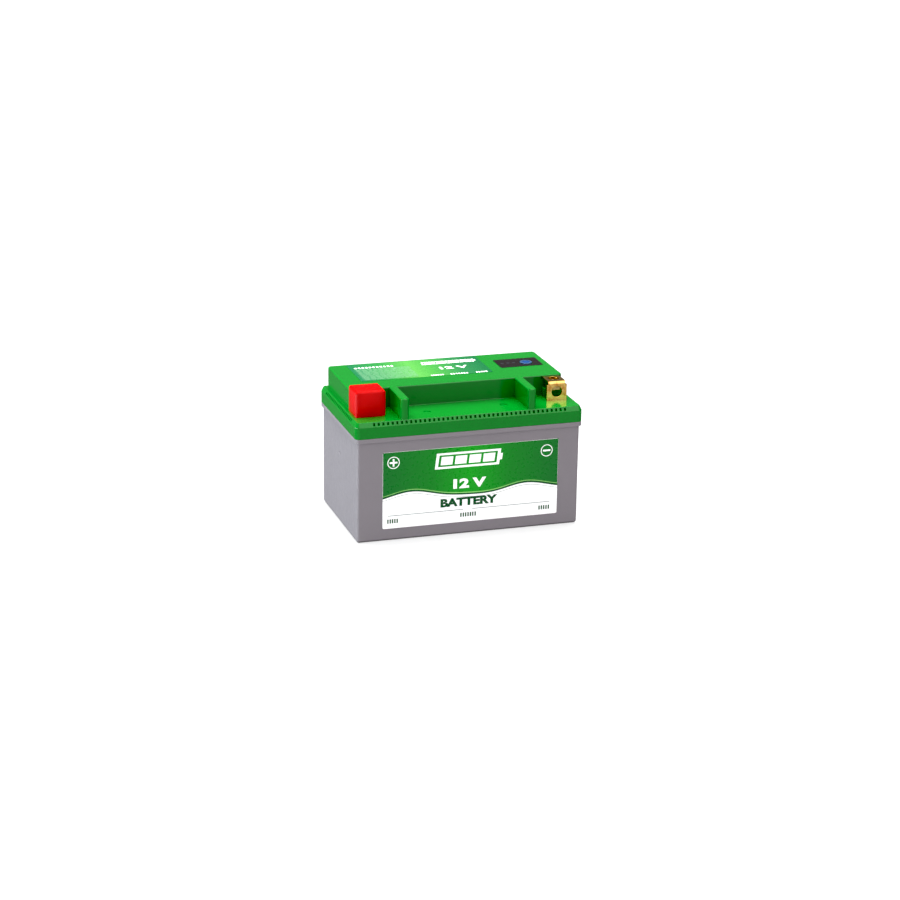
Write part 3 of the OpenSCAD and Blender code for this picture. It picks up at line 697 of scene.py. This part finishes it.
def bevel_pockets():
    """Cutters for the rows of pockets in the bevel all round the flange."""
    pitch, along_length, along_depth = 3, 43, 21
    cutters = []
    for count, half_depth, turns in ((along_length, DEPTH / 2, (0, 180)),
                                     (along_depth, LENGTH / 2, (90, 270))):
        for turn in turns:
            cutters += [pocket_cutter((i - (count - 1) / 2) * pitch, -half_depth, turn)
                        for i in range(count)]
    return join_meshes("pockets", cutters)


def at_board_corners():
    inset = 4
    return [(x, y) for x in (board_low.x + inset, board_high.x - inset)
            for y in (board_low.y + inset, board_high.y - inset)]


def lid_outside():
    """Flange with its tongue inside the case, ribs, rests for the nuts and plateau, in one."""
    tongue_out = INNER_INSET + 0.15
    tongue_in = tongue_out + 1.6
    tongue_foot = SEAM_Z - 2
    seam = SEAM_Z + 0.02
    shoulder = SEAM_Z + 1.6
    flange_in = 2.5
    flange = rounded_path([
        (flange_in + 2, LEDGE_UNDER_Z, 0), (flange_in, LEDGE_UNDER_Z, 0.8), (flange_in, shoulder, 0.3),
        (tongue_in, shoulder, 0.2), (tongue_in, tongue_foot, 0.3), (tongue_out, tongue_foot, 0.3),
        (tongue_out, seam, 0.1), (0, seam, 0.25), (0, FLANGE_EDGE_Z, 0.9),
        (BEVEL_INSET, LEDGE_Z, 0.45), (BEVEL_INSET + 1, LEDGE_Z, 0)])
    lid = rounded_solid("lid_shell", case_low, case_high, CORNER_R, flange, 10)
    plateau_y = PLATEAU_LOW[1]
    rib_half = RIB_WIDTH / 2
    ribs = [raised("rib", (x - rib_half, RIB_FRONT), (x + rib_half, plateau_y + PLATEAU_WALL_Y),
                   2, PLATEAU_Z - 0.01, 1.2, True) for x in RIB_XS]
    rest_half, rest_front = 5.9, -20.3
    rests = [block("rest", (x - rest_half, rest_front, LEDGE_Z - 1),
                   (x + rest_half, plateau_y + 1, NUT_REST_Z)) for x in TERMINAL_XS]
    plateau = raised("plateau", PLATEAU_LOW, PLATEAU_HIGH, 2.5, PLATEAU_Z, 1)
    return combine(lid, [plateau, *ribs, *rests], "UNION")


def lid_hollows():
    """Cutters for the inside of the plateau and of the ribs."""
    start_z = LEDGE_UNDER_Z - OVERCUT
    profile = rounded_path([(0, start_z, 0), (0, PLATEAU_UNDER_Z, 0.6), (1, PLATEAU_UNDER_Z, 0)])
    inside = rounded_solid(
        "inside", (PLATEAU_LOW[0] + PLATEAU_WALL_X, PLATEAU_LOW[1] + PLATEAU_WALL_Y),
        (PLATEAU_HIGH[0] - PLATEAU_WALL_X, PLATEAU_HIGH[1] - PLATEAU_WALL_Y), 1.2, profile, 4)
    core_half, rib_wall = 1.2, 1.6
    cores = [block("core", (x - core_half, RIB_FRONT + rib_wall, start_z),
                   (x + core_half, PLATEAU_LOW[1] + 3, PLATEAU_UNDER_Z - 0.01)) for x in RIB_XS]
    return [inside, *cores]


def screw_bosses():
    """Posts under the plateau, which hold the balance board."""
    boss_r, root_r = 2.6, 3.2
    profile = [(boss_r, board_high.z), (boss_r, PLATEAU_UNDER_Z - 0.6), (root_r, PLATEAU_UNDER_Z + 0.3)]
    return join_meshes("bosses", [turned("boss", profile, corner, steps=32)
                                  for corner in at_board_corners()])


def panel_cutters(low, high, button_hole_r, steps):
    """Cutters for the charge windows and the button."""
    windows = [rod("window", (x, WINDOW_Y), WINDOW_R, low, high, steps=steps) for x in WINDOW_XS]
    return [*windows, rod("button hole", BUTTON_CENTRE, button_hole_r, low, high)]


def lid_openings():
    """Cutters for the terminals, the board's screws, the charge windows and the button."""
    gap = 0.1
    half = TERMINAL_WIDTH / 2 + gap
    cuts = []
    for x in TERMINAL_XS:
        cuts.append(block("slot", (x - half, TERMINAL_FRONT - gap, LEDGE_UNDER_Z - OVERCUT),
                          (x + half, CHANNEL_FRONT + gap, LEDGE_Z + OVERCUT)))
        cuts.append(block("pocket", (x - half, PLATEAU_LOW[1] - OVERCUT, TERMINAL_TOP - SHEET - gap),
                          (x + half, PLATEAU_LOW[1] + 1.2, TERMINAL_TOP + gap)))
    screw_r, screw_depth = 1.25, 6
    cuts += [rod("screw hole", corner, screw_r, board_high.z - 1, board_high.z + screw_depth, steps=24)
             for corner in at_board_corners()]
    cuts += panel_cutters(PLATEAU_UNDER_Z - OVERCUT, PLATEAU_Z + OVERCUT, button_hole_r=4.15, steps=24)
    # Marks that the ejector pins left on the recess floor
    mark_depth = 0.35
    cuts += [turned("ejector mark", [(2.4, LEDGE_Z - mark_depth), (2.5, LEDGE_Z + 0.5)], place)
             for place in ((-24.8, -30.2), (26.7, -28.3))]
    return join_meshes("cuts", cuts)


def lid_shell():
    lid = lid_outside()
    combine(lid, lid_hollows(), "DIFFERENCE")
    combine(lid, [screw_bosses()], "UNION")
    combine(lid, [lid_openings(), bevel_pockets()], "DIFFERENCE")
    return dress(lid, BATTERY, "lid_plastic", LID_PLASTIC, "lid")


# ---- Terminals ----

def terminal(side, x):
    """Sheet folded into a top, a front and a foot, with holes for the bolt and the rivet."""
    back = PLATEAU_LOW[1] + 1.1
    foot_z = SEAM_Z - 1
    foot_back = TERMINAL_FRONT + 13
    bend_r = 2.2
    inner_r = bend_r - SHEET
    channel_top = TERMINAL_TOP - SHEET
    foot_top = foot_z + SHEET
    outside = rounded_path([(back, TERMINAL_TOP, 0), (TERMINAL_FRONT, TERMINAL_TOP, bend_r),
                            (TERMINAL_FRONT, foot_z, bend_r), (foot_back, foot_z, 0)], 10)
    inside = rounded_path([(back, channel_top, 0), (CHANNEL_FRONT, channel_top, inner_r),
                           (CHANNEL_FRONT, foot_top, inner_r), (foot_back, foot_top, 0)], 10)
    # The outline's first axis becomes Y, its second Z and its depth X
    upright = Matrix(((0, 0, 1, x), (1, 0, 0, 0), (0, 1, 0, 0), (0, 0, 0, 1)))
    half = TERMINAL_WIDTH / 2
    piece = strips_solid(side + "_tab", [(inside, outside, False)], -half, half, upright)
    # The top is narrower than the front
    top_half, trim_half = 5.8, 9
    shoulder_z = TERMINAL_TOP - bend_r - 0.2
    trims = [block("trim", (x + low, TERMINAL_FRONT - 1, shoulder_z),
                   (x + high, back + 1, TERMINAL_TOP + 1))
             for low, high in ((-trim_half, -top_half), (top_half, trim_half))]
    front_hole_z = 85.1
    towards_y = Matrix.Translation((x, 0, front_hole_z)) @ Matrix.Rotation(math.radians(90), 4, "X")
    rivet_y, rivet_r = TERMINAL_FRONT + 8, 1.65
    holes = [rod("top hole", (x, NUT_Y), BOLT_HOLE_R, channel_top - 1, TERMINAL_TOP + 1),
             rod("front hole", (0, 0), BOLT_HOLE_R, -CHANNEL_FRONT - 1, -TERMINAL_FRONT + 1, towards_y),
             rod("rivet hole", (x, rivet_y), rivet_r, foot_z - 1, foot_top + 1, steps=24)]
    combine(piece, trims + holes, "DIFFERENCE")
    soften(piece, 0.2, 3)
    return dress(piece, BATTERY, "terminal_brass", TERMINAL_BRASS, side + "_terminal")


def square_nut(side, x):
    """Square nut with a cut thread that widens at both of its ends."""
    pitch, minor_r, thread_depth = 1, 2.5, 0.5
    lead_height, lead_depth = 0.5, 0.6
    top = NUT_REST_Z + NUT_HEIGHT
    profile = rounded_path([(1.5, NUT_REST_Z, 0), (0, NUT_REST_Z, 0.35),
                            (0, top, 0.35), (1.5, top, 0)], 3)
    body = rounded_solid(side + "_square_nut", (x - NUT_HALF, NUT_Y - NUT_HALF),
                         (x + NUT_HALF, NUT_Y + NUT_HALF), 0.6, profile, 4)
    around, per_turn = 36, 6
    rings = []
    # The cutter goes one turn past both faces
    for level in range(-per_turn, (NUT_HEIGHT + 1) * per_turn + 1):
        z = level * pitch / per_turn
        lead = min(max(0.0, lead_height - z, z - NUT_HEIGHT + lead_height), lead_depth)
        points = []
        for i in range(around):
            phase = (z / pitch - i / around) % 1
            radius = minor_r + max(thread_depth * (1 - abs(2 * phase - 1)), lead)
            angle = math.tau * i / around
            points.append((x + radius * math.cos(angle), NUT_Y + radius * math.sin(angle),
                           NUT_REST_Z + z))
        rings.append(points)
    combine(body, [loft("thread", rings)], "DIFFERENCE")
    return dress(body, BATTERY, "nut_brass", SHADED_NUT_BRASS, side + "_nut")


def terminal_cap_shell():
    """Soft cover, open at the bottom and the back, with slightly bulging faces."""
    edge_r, bulge, sink = 1.4, 0.9, 0.25
    low = Vector(cap_low)
    high = Vector(cap_high)
    build = bmesh.new()
    bmesh.ops.create_cube(build, size=1)
    bmesh.ops.subdivide_edges(build, edges=build.edges[:], cuts=35, use_grid_fill=True)
    inner_low = low + Vector((edge_r,) * 3)
    inner_high = high - Vector((edge_r,) * 3)
    centre, reach = (low + high) / 2, (high - low) / 2
    # Only the faces in the sides of the cube, which is 1 wide, lie this far from its middle
    out = 0.499
    middles = [(face, face.calc_center_median()) for face in build.faces]
    opened = [face for face, middle in middles if middle.z < -out or middle.y > out]
    bmesh.ops.delete(build, geom=opened, context="FACES")
    for vertex in build.verts:
        share = vertex.co * 2
        # Points crowd towards the edges, where the faces turn
        eased = Vector([math.sin(c * math.pi / 2) for c in share])
        spot = centre + Vector([e * r for e, r in zip(eased, reach)])
        held = Vector([min(max(s, a), b) for s, a, b in zip(spot, inner_low, inner_high)])
        # The bottom and the back are open, so they keep their full size
        held.z = min(spot.z, inner_high.z)
        held.y = max(spot.y, inner_low.y)
        away = spot - held
        if away.length > 1e-6:
            spot = held + away.normalized() * edge_r
        # The sides, the front and the top bulge in the middle
        offset = spot - centre
        share = [o / r for o, r in zip(offset, reach)]
        for i in range(3):
            first, second = [share[j] for j in range(3) if j != i]
            if i == 0 or (i == 1 and share[1] < 0) or (i == 2 and share[2] > 0):
                offset[i] *= 1 + (bulge * (1 - first ** 2) * (1 - second ** 2) - sink) / reach[i]
        vertex.co = (centre + offset) * MM
    bmesh.ops.recalc_face_normals(build, faces=build.faces)
    mesh = bpy.data.meshes.new("terminal_cap_cover")
    build.to_mesh(mesh)
    build.free()
    piece = add_object("terminal_cap_cover", mesh)
    step = piece.modifiers.new("wall", "SOLIDIFY")
    step.thickness = CAP_WALL * MM
    step.offset = -1
    step.use_even_offset = True
    settle(piece)
    return dress(piece, CAP, "cap_vinyl", CAP_VINYL, "terminal_cap")


def cap_grip_ribs():
    """Ribs inside the cover that grip the side of the terminal."""
    width = 1.2
    side_x = TERMINAL_XS[0] + TERMINAL_WIDTH / 2 + 0.1
    wall_x = cap_high.x - CAP_WALL
    low_z = LEDGE_Z + 1.2
    high_z = low_z + 12
    profile = rounded_path([(0.6, low_z, 0), (0, low_z, 0.3), (0, high_z, 0.3), (0.6, high_z, 0)], 3)
    ribs = [rounded_solid("rib", (side_x, y), (wall_x + 0.05, y + width), 0.35, profile, 4)
            for y in (TERMINAL_FRONT + 1.2, cap_high.y - 2 * width)]
    return dress(join_meshes("cap_grip_ribs", ribs), CAP, "cap_vinyl", CAP_VINYL)


# ---- Status panel and test button ----

def status_panel():
    base, top = panel_low.z, panel_high.z
    profile = rounded_path([(1, base, 0), (0, base, 0.05), (0, top, 0.12), (1, top, 0)], 3)
    panel = rounded_solid("status_panel_film", panel_low, panel_high, 1.2, profile)
    cuts = join_meshes("cuts", panel_cutters(base - 1, top + 1, button_hole_r=4.3, steps=32))
    combine(panel, [cuts], "DIFFERENCE")
    return dress(panel, BATTERY, "panel_film", PANEL_FILM, "status_panel")


def test_button():
    """Cup with a flange that holds it under the lid, and a dome set in its top."""
    top = button_high.z
    radius, inner_r, bore_r, flange_r = 4, 2.6, 1.75, 5.2
    rim_z = top - 0.1
    seat_z = top - 0.55
    flange_top = PLATEAU_UNDER_Z - 0.1
    flange_low = flange_top - 1
    rim = rounded_path([(0.9, button_low.z, 0), (bore_r, button_low.z, 0.2), (bore_r, flange_low, 0.3),
                        (flange_r, flange_low, 0.2), (flange_r, flange_top, 0.2),
                        (radius, flange_top, 0.1), (radius, rim_z, 0.5),
                        (inner_r + 0.15, rim_z, 0.25), (inner_r, seat_z, 0.1), (1.0, seat_z, 0)], 4)
    ring_piece = turned("test_button_ring", rim, BUTTON_CENTRE)
    dress(ring_piece, BUTTON, "button_plastic", BUTTON_RIM, "test_button")
    dome_r, dome_height = 2.55, 0.45
    dome = [(2.0, top - 0.6), (2.45, top - 0.6)]
    for degrees in range(0, 90, 10):
        angle = math.radians(degrees)
        dome.append((dome_r * math.cos(angle), top - dome_height + dome_height * math.sin(angle)))
    centre = turned("test_button_dome", dome, BUTTON_CENTRE)
    return dress(centre, BUTTON, "button_plastic", BUTTON_BLUE)


# ---- Labels ----

INK = 0.03
INK_SUNK = 0.01
# These turn a drawing's plane, with +X to the right and +Y up, into the face of each label
FRONT_PLANE = Matrix(((1, 0, 0, 0), (0, 0, -1, front_low.y), (0, 1, 0, 0), (0, 0, 0, 1)))
TOP_PLANE = Matrix.Translation((0, 0, top_high.z))


class Label:
    """One printed label; its film and ink are drawn flat, with +X to the right and +Y up."""

    def __init__(self, side, plane):
        self.node = side + "_label"
        self.slot = side + "_print"
        self.plane = plane

    def film(self, low, high, base, material):
        profile = rounded_path([(1, base, 0), (0, base, 0.03), (0, 0, 0.05), (1, 0, 0)], 2)
        rings = [ring((low[0] + inset, low[1] + inset), (high[0] - inset, high[1] - inset),
                      max(0.9 - inset, 0.1), z, 6) for inset, z in profile]
        piece = loft(self.node + "_film", rings, self.plane)
        dress(piece, BATTERY, self.slot, material, self.node)

    def ink(self, name, layer, material, strips):
        """Printed shapes; each layer lies on the one below."""
        bottom, top = (layer - 1) * INK - INK_SUNK, layer * INK
        piece = strips_solid(self.node + "_" + name, strips, bottom, top, self.plane)
        dress(piece, BATTERY, self.slot, material)

    def lettering(self, name, layer, material, words, low, high, weight):
        """Words in the built-in font, stretched to fill a box."""
        curve = bpy.data.curves.new(name, "FONT")
        curve.body = words
        curve.offset = weight
        curve.extrude = 0.01
        curve.resolution_u = 6
        text = add_object("text", curve)
        graph = bpy.context.evaluated_depsgraph_get()
        mesh = bpy.data.meshes.new_from_object(text.evaluated_get(graph))
        bpy.data.objects.remove(text)
        points = [v.co.copy() for v in mesh.vertices]
        least = [min(p[i] for p in points) for i in range(3)]
        most = [max(p[i] for p in points) for i in range(3)]
        bottom, top = (layer - 1) * INK - INK_SUNK, layer * INK
        placed = []
        for p in points:
            u, v, w = [(p[i] - least[i]) / (most[i] - least[i]) for i in range(3)]
            placed.append((low[0] + u * (high[0] - low[0]), low[1] + v * (high[1] - low[1]),
                           bottom + w * (top - bottom)))
        piece = make_object(self.node + "_" + name, placed,
                            [tuple(p.vertices) for p in mesh.polygons], self.plane)
        build = bmesh.new()
        build.from_mesh(piece.data)
        # The font's faces and sides are separate until their shared points are merged
        bmesh.ops.remove_doubles(build, verts=build.verts, dist=1e-7)
        build.to_mesh(piece.data)
        build.free()
        dress(piece, BATTERY, self.slot, material)


def battery_sign(low, high):
    """Strips of a battery's outline with a nub and charge bars, leaning to the right."""
    slant, bars = 0.12, 4
    y0, y1 = low[1], high[1]
    stroke = (y1 - y0) * 0.13
    side = 1.4 * stroke
    gap = 1.2 * stroke
    nub = (high[0] - low[0]) * 0.035
    left, right = low[0], high[0] - nub
    inner_y0, inner_y1 = y0 + stroke, y1 - stroke

    def leaning(x0, low_y, x1, high_y):
        low_lean, high_lean = slant * (low_y - y0), slant * (high_y - y0)
        return ([(x0 + low_lean, low_y), (x1 + low_lean, low_y)],
                [(x0 + high_lean, high_y), (x1 + high_lean, high_y)], False)

    strips = [leaning(left, y0, right, inner_y0), leaning(left, inner_y1, right, y1),
              leaning(left, inner_y0, left + side, inner_y1),
              leaning(right - side, inner_y0, right, inner_y1),
              leaning(right, y0 + 0.3 * (y1 - y0), high[0], y1 - 0.3 * (y1 - y0))]
    start = left + side + gap
    width = (right - side - start) / bars - gap
    for i in range(bars):
        x = start + i * (width + gap)
        strips.append(leaning(x, inner_y0 + gap * 0.7, x + width, inner_y1 - gap * 0.7))
    return strips


def ticks(spans, low, high):
    """Rows of short bars in place of small figures; each span is (left, right, number of bars)."""
    strips = []
    for left, right, count in spans:
        pitch = (right - left) / count
        strips += [bar(left + i * pitch, low, left + (i + 0.6) * pitch, high) for i in range(count)]
    return strips


def wave_z(x):
    """Height of the wave's light line above the base: a slight slope, a long and a short wave."""
    return (29.75 - 0.01 * x + 2.45 * math.sin(math.tau * (x - 20.6) / 76.6)
            + 0.5 * math.sin(math.tau * (x + 10) / 38.3))


def wave_band(upper, lower, fade=0.0):
    """Strip between two heights above the wave, thinner towards the ends by the fade's share."""
    count = 90
    first, last = front_low.x, front_high.x
    xs = [first + (last - first) * i / (count - 1) for i in range(count)]
    low_line, high_line = [], []
    for x in xs:
        squeeze = 1 - fade * abs(2 * (x - first) / (last - first) - 1)
        middle = (upper + lower) / 2
        reach = (upper - lower) / 2 * squeeze
        high_line.append((x, wave_z(x) + middle + reach))
        low_line.append((x, wave_z(x) + middle - reach))
    return (low_line, high_line, False)


def front_label():
    label = Label("front", FRONT_PLANE)
    label.film((front_low.x, front_low.z), (front_high.x, front_high.z),
               front_low.y - front_high.y, FRONT_WHITE)
    edge = 0.1
    field_low = [(min(max(x, front_low.x + edge), front_high.x - edge), z)
                 for x, z in wave_band(0.2, -0.2)[0]]
    field_high = [(point[0], front_high.z - edge) for point in field_low]
    label.ink("field", 1, FRONT_GREEN, [(field_low, field_high, False)])
    label.ink("wave_light", 2, INK_LIGHT, [wave_band(0.35, -0.35, 0.3)])
    label.ink("wave_dark", 2, INK_DARK, [wave_band(-0.3, -1.35, -0.3)])
    label.ink("wave_grey", 1, INK_GREY, [wave_band(-2.75, -3.0)])
    arm, stroke = 2.5, 0.55
    ring_r, ring_stroke = 3.75, 0.5
    plus_x, plus_z = -50.1, 51.8
    minus_x, minus_z = 51.6, 51.3
    label.ink("poles", 2, INK_WHITE, [
        hoop(plus_x, plus_z, ring_r, ring_stroke), hoop(minus_x, minus_z, ring_r, ring_stroke),
        bar(plus_x - arm, plus_z - stroke, plus_x + arm, plus_z + stroke),
        bar(plus_x - stroke, plus_z + stroke, plus_x + stroke, plus_z + arm),
        bar(plus_x - stroke, plus_z - arm, plus_x + stroke, plus_z - stroke),
        bar(minus_x - arm, minus_z - stroke, minus_x + arm, minus_z + stroke)])
    label.ink("sign", 2, INK_WHITE, battery_sign((-23, 44.9), (21.2, 55.3)))
    label.lettering("voltage", 2, INK_WHITE, "12 V", (-10.6, 30.9), (11.2, 37.4), 0.05)
    label.lettering("word", 1, INK_DARK, "BATTERY", (-19, 19.1), (19, 24.8), 0.055)
    rule_low, rule_high = 16.42, 16.82
    label.ink("rule", 1, INK_GREY, [bar(left, rule_low, right, rule_high)
                                    for left, right in ((-53.7, -3.8), (2.3, 54.5))])
    label.ink("ticks", 1, INK_DARK, ticks(((-54, -46.4, 5), (-5.7, 5.4, 7), (47, 54.9, 5)), 11.6, 14.4))


def small_print():
    """Lines broken into stretches of uneven length, as small print looks from afar."""
    lines, top_line, pitch, height, gap = 12, 25.2, 2.0, 0.75, 0.8
    strips = []
    for i in range(lines):
        y = top_line - i * pitch
        x = SMALL_PRINT_LEFT + 1
        while x < SMALL_PRINT_RIGHT - 2:
            run = 3.4 + 2.6 * noise.noise(Vector((x * 0.37, i * 1.7, 0)))
            strips.append(bar(x, y, min(x + run, SMALL_PRINT_RIGHT - 1), y + height))
            x += run + gap
    return strips


def top_label():
    label = Label("top", TOP_PLANE)
    label.film(top_low, top_high, top_low.z - top_high.z, TOP_GREEN)
    label.ink("block", 1, INK_PALE, [bar(SMALL_PRINT_LEFT, 2, SMALL_PRINT_RIGHT, 27.2)])
    label.ink("lines", 2, INK_PALE_LINE, small_print())
    label.ink("title", 2, INK_WHITE, ticks(((SMALL_PRINT_LEFT + 1.1, -29, 11),), 28.4, 31.0))
    label.ink("sign", 2, INK_WHITE, battery_sign((-11, 26.6), (26, 32.4)))
    label.lettering("voltage", 2, INK_WHITE, "12 V", (-2, 14), (17, 19.4), 0.035)
    label.ink("ticks", 2, INK_WHITE, ticks(((-12.3, -3.3, 6), (0.9, 13.1, 7), (18, 26.2, 5)), 1.2, 3.4))


# ---- Stage ----

def camera():
    """Camera of a long lens, above the front and to the left."""
    yaw, pitch, roll = (math.radians(a) for a in (17.819, 18.242, 0.863))
    level = Vector((math.sin(yaw), math.cos(yaw), 0))
    forward = level * math.cos(pitch) - Vector((0, 0, math.sin(pitch)))
    right = Vector((math.cos(yaw), -math.sin(yaw), 0))
    up = right.cross(forward)
    across = math.cos(roll) * right + math.sin(roll) * up
    upward = -math.sin(roll) * right + math.cos(roll) * up
    data = bpy.data.cameras.new("camera")
    data.lens = 94.26
    data.sensor_width = 36
    data.clip_start = 0.01
    data.clip_end = 100
    made = add_object("camera", data)
    turn = Matrix((across, upward, -forward)).transposed()
    made.matrix_world = Matrix.Translation((-0.44400, -1.38260, 0.52112)) @ turn.to_4x4()
    bpy.context.scene.camera = made


def light(name, kind, strength, colour, shines):
    """Lamp that shines in a direction."""
    data = bpy.data.lights.new(name, kind)
    data.energy = strength
    data.color = colour
    made = add_object(name, data)
    made.rotation_euler = shines.to_track_quat("-Z", "Y").to_euler()
    return made


def softbox(name, spot, aim, size, power, colour):
    made = light(name, "AREA", power, colour, Vector(aim) - Vector(spot))
    made.location = spot
    made.data.shape = "RECTANGLE"
    made.data.size, made.data.size_y = size


def studio():
    floor_half = 14000
    corners = [(x * floor_half, y * floor_half, 0) for x, y in ((-1, -1), (1, -1), (1, 1), (-1, 1))]
    floor = make_object("floor", corners, [(0, 1, 2, 3)])
    look = Shader("floor paper", Roughness=0.9)
    look.set("Base Color", look.mix(look.noise(40, 3), (0.195, 0.195, 0.195), (0.205, 0.205, 0.205)))
    look.set("Specular IOR Level", 0.1)
    look.set("Emission Color", (1.0, 1.0, 1.0))
    look.set("Emission Strength", 0.65)
    floor.data.materials.append(look.material)
    # The battery's own faces mirror the sky below, not the bright paper
    floor.visible_glossy = False
    sky()
    # Falls evenly over the whole floor; mirrored in the battery, it would make the edges glare
    key = light("key", "SUN", 10.3, (0.97, 1.0, 1.0), Vector((0.04, -0.35, -0.93)))
    key.data.angle = math.radians(62)
    key.visible_glossy = False
    softbox("left light", spot=(-0.75, 0.02, 0.085), aim=(0, 0.02, 0.06), size=(1.0, 0.15),
            power=9.2, colour=(0.86, 0.96, 1.0))
    softbox("front light", spot=(0.45, -1.27, 0.47), aim=(0, 0, 0.08), size=(0.75, 0.42),
            power=2.2, colour=(1.0, 0.8, 0.88))
    # The Standard transform, with its blacks pulled down a little
    settings = bpy.context.scene.view_settings
    settings.view_transform = "Standard"
    settings.look = "None"
    settings.use_curve_mapping = True
    settings.curve_mapping.black_level = (0.014, 0.014, 0.014)
    settings.curve_mapping.update()


def sky():
    """Sky that is dim behind the battery and brighter in front of it."""
    world = bpy.data.worlds.new("studio")
    world.use_nodes = True
    nodes = Nodes(world.node_tree, "Generated")
    front = nodes.ramp(nodes.axis("Y"), 0.19, 0.64, 0.0, -0.9, True)
    # A bright patch high up in front, which shows in the folds of the brass
    patch = nodes.add("ShaderNodeVectorMath", operation="DOT_PRODUCT")
    nodes.feed(nodes.coordinates, patch.inputs[0])
    nodes.feed(Vector((0.2, -0.45, 0.87)).normalized(), patch.inputs[1])
    glow = nodes.ramp(patch.outputs["Value"], 0.0, 2.0, 0.78, 0.96, True)
    background = world.node_tree.nodes["Background"]
    nodes.feed((1.0, 0.97, 0.98), background.inputs["Color"])
    nodes.feed(nodes.math("ADD", front, glow), background.inputs["Strength"])
    bpy.context.scene.world = world


camera()
studio()
dress_cad_nodes()
case_shell()
lid_shell()
for side, x in zip(("positive", "negative"), TERMINAL_XS):
    terminal(side, x)
    square_nut(side, x)
terminal_cap_shell()
cap_grip_ribs()
status_panel()
test_button()
front_label()
top_label()

bpy.context.view_layer.update()
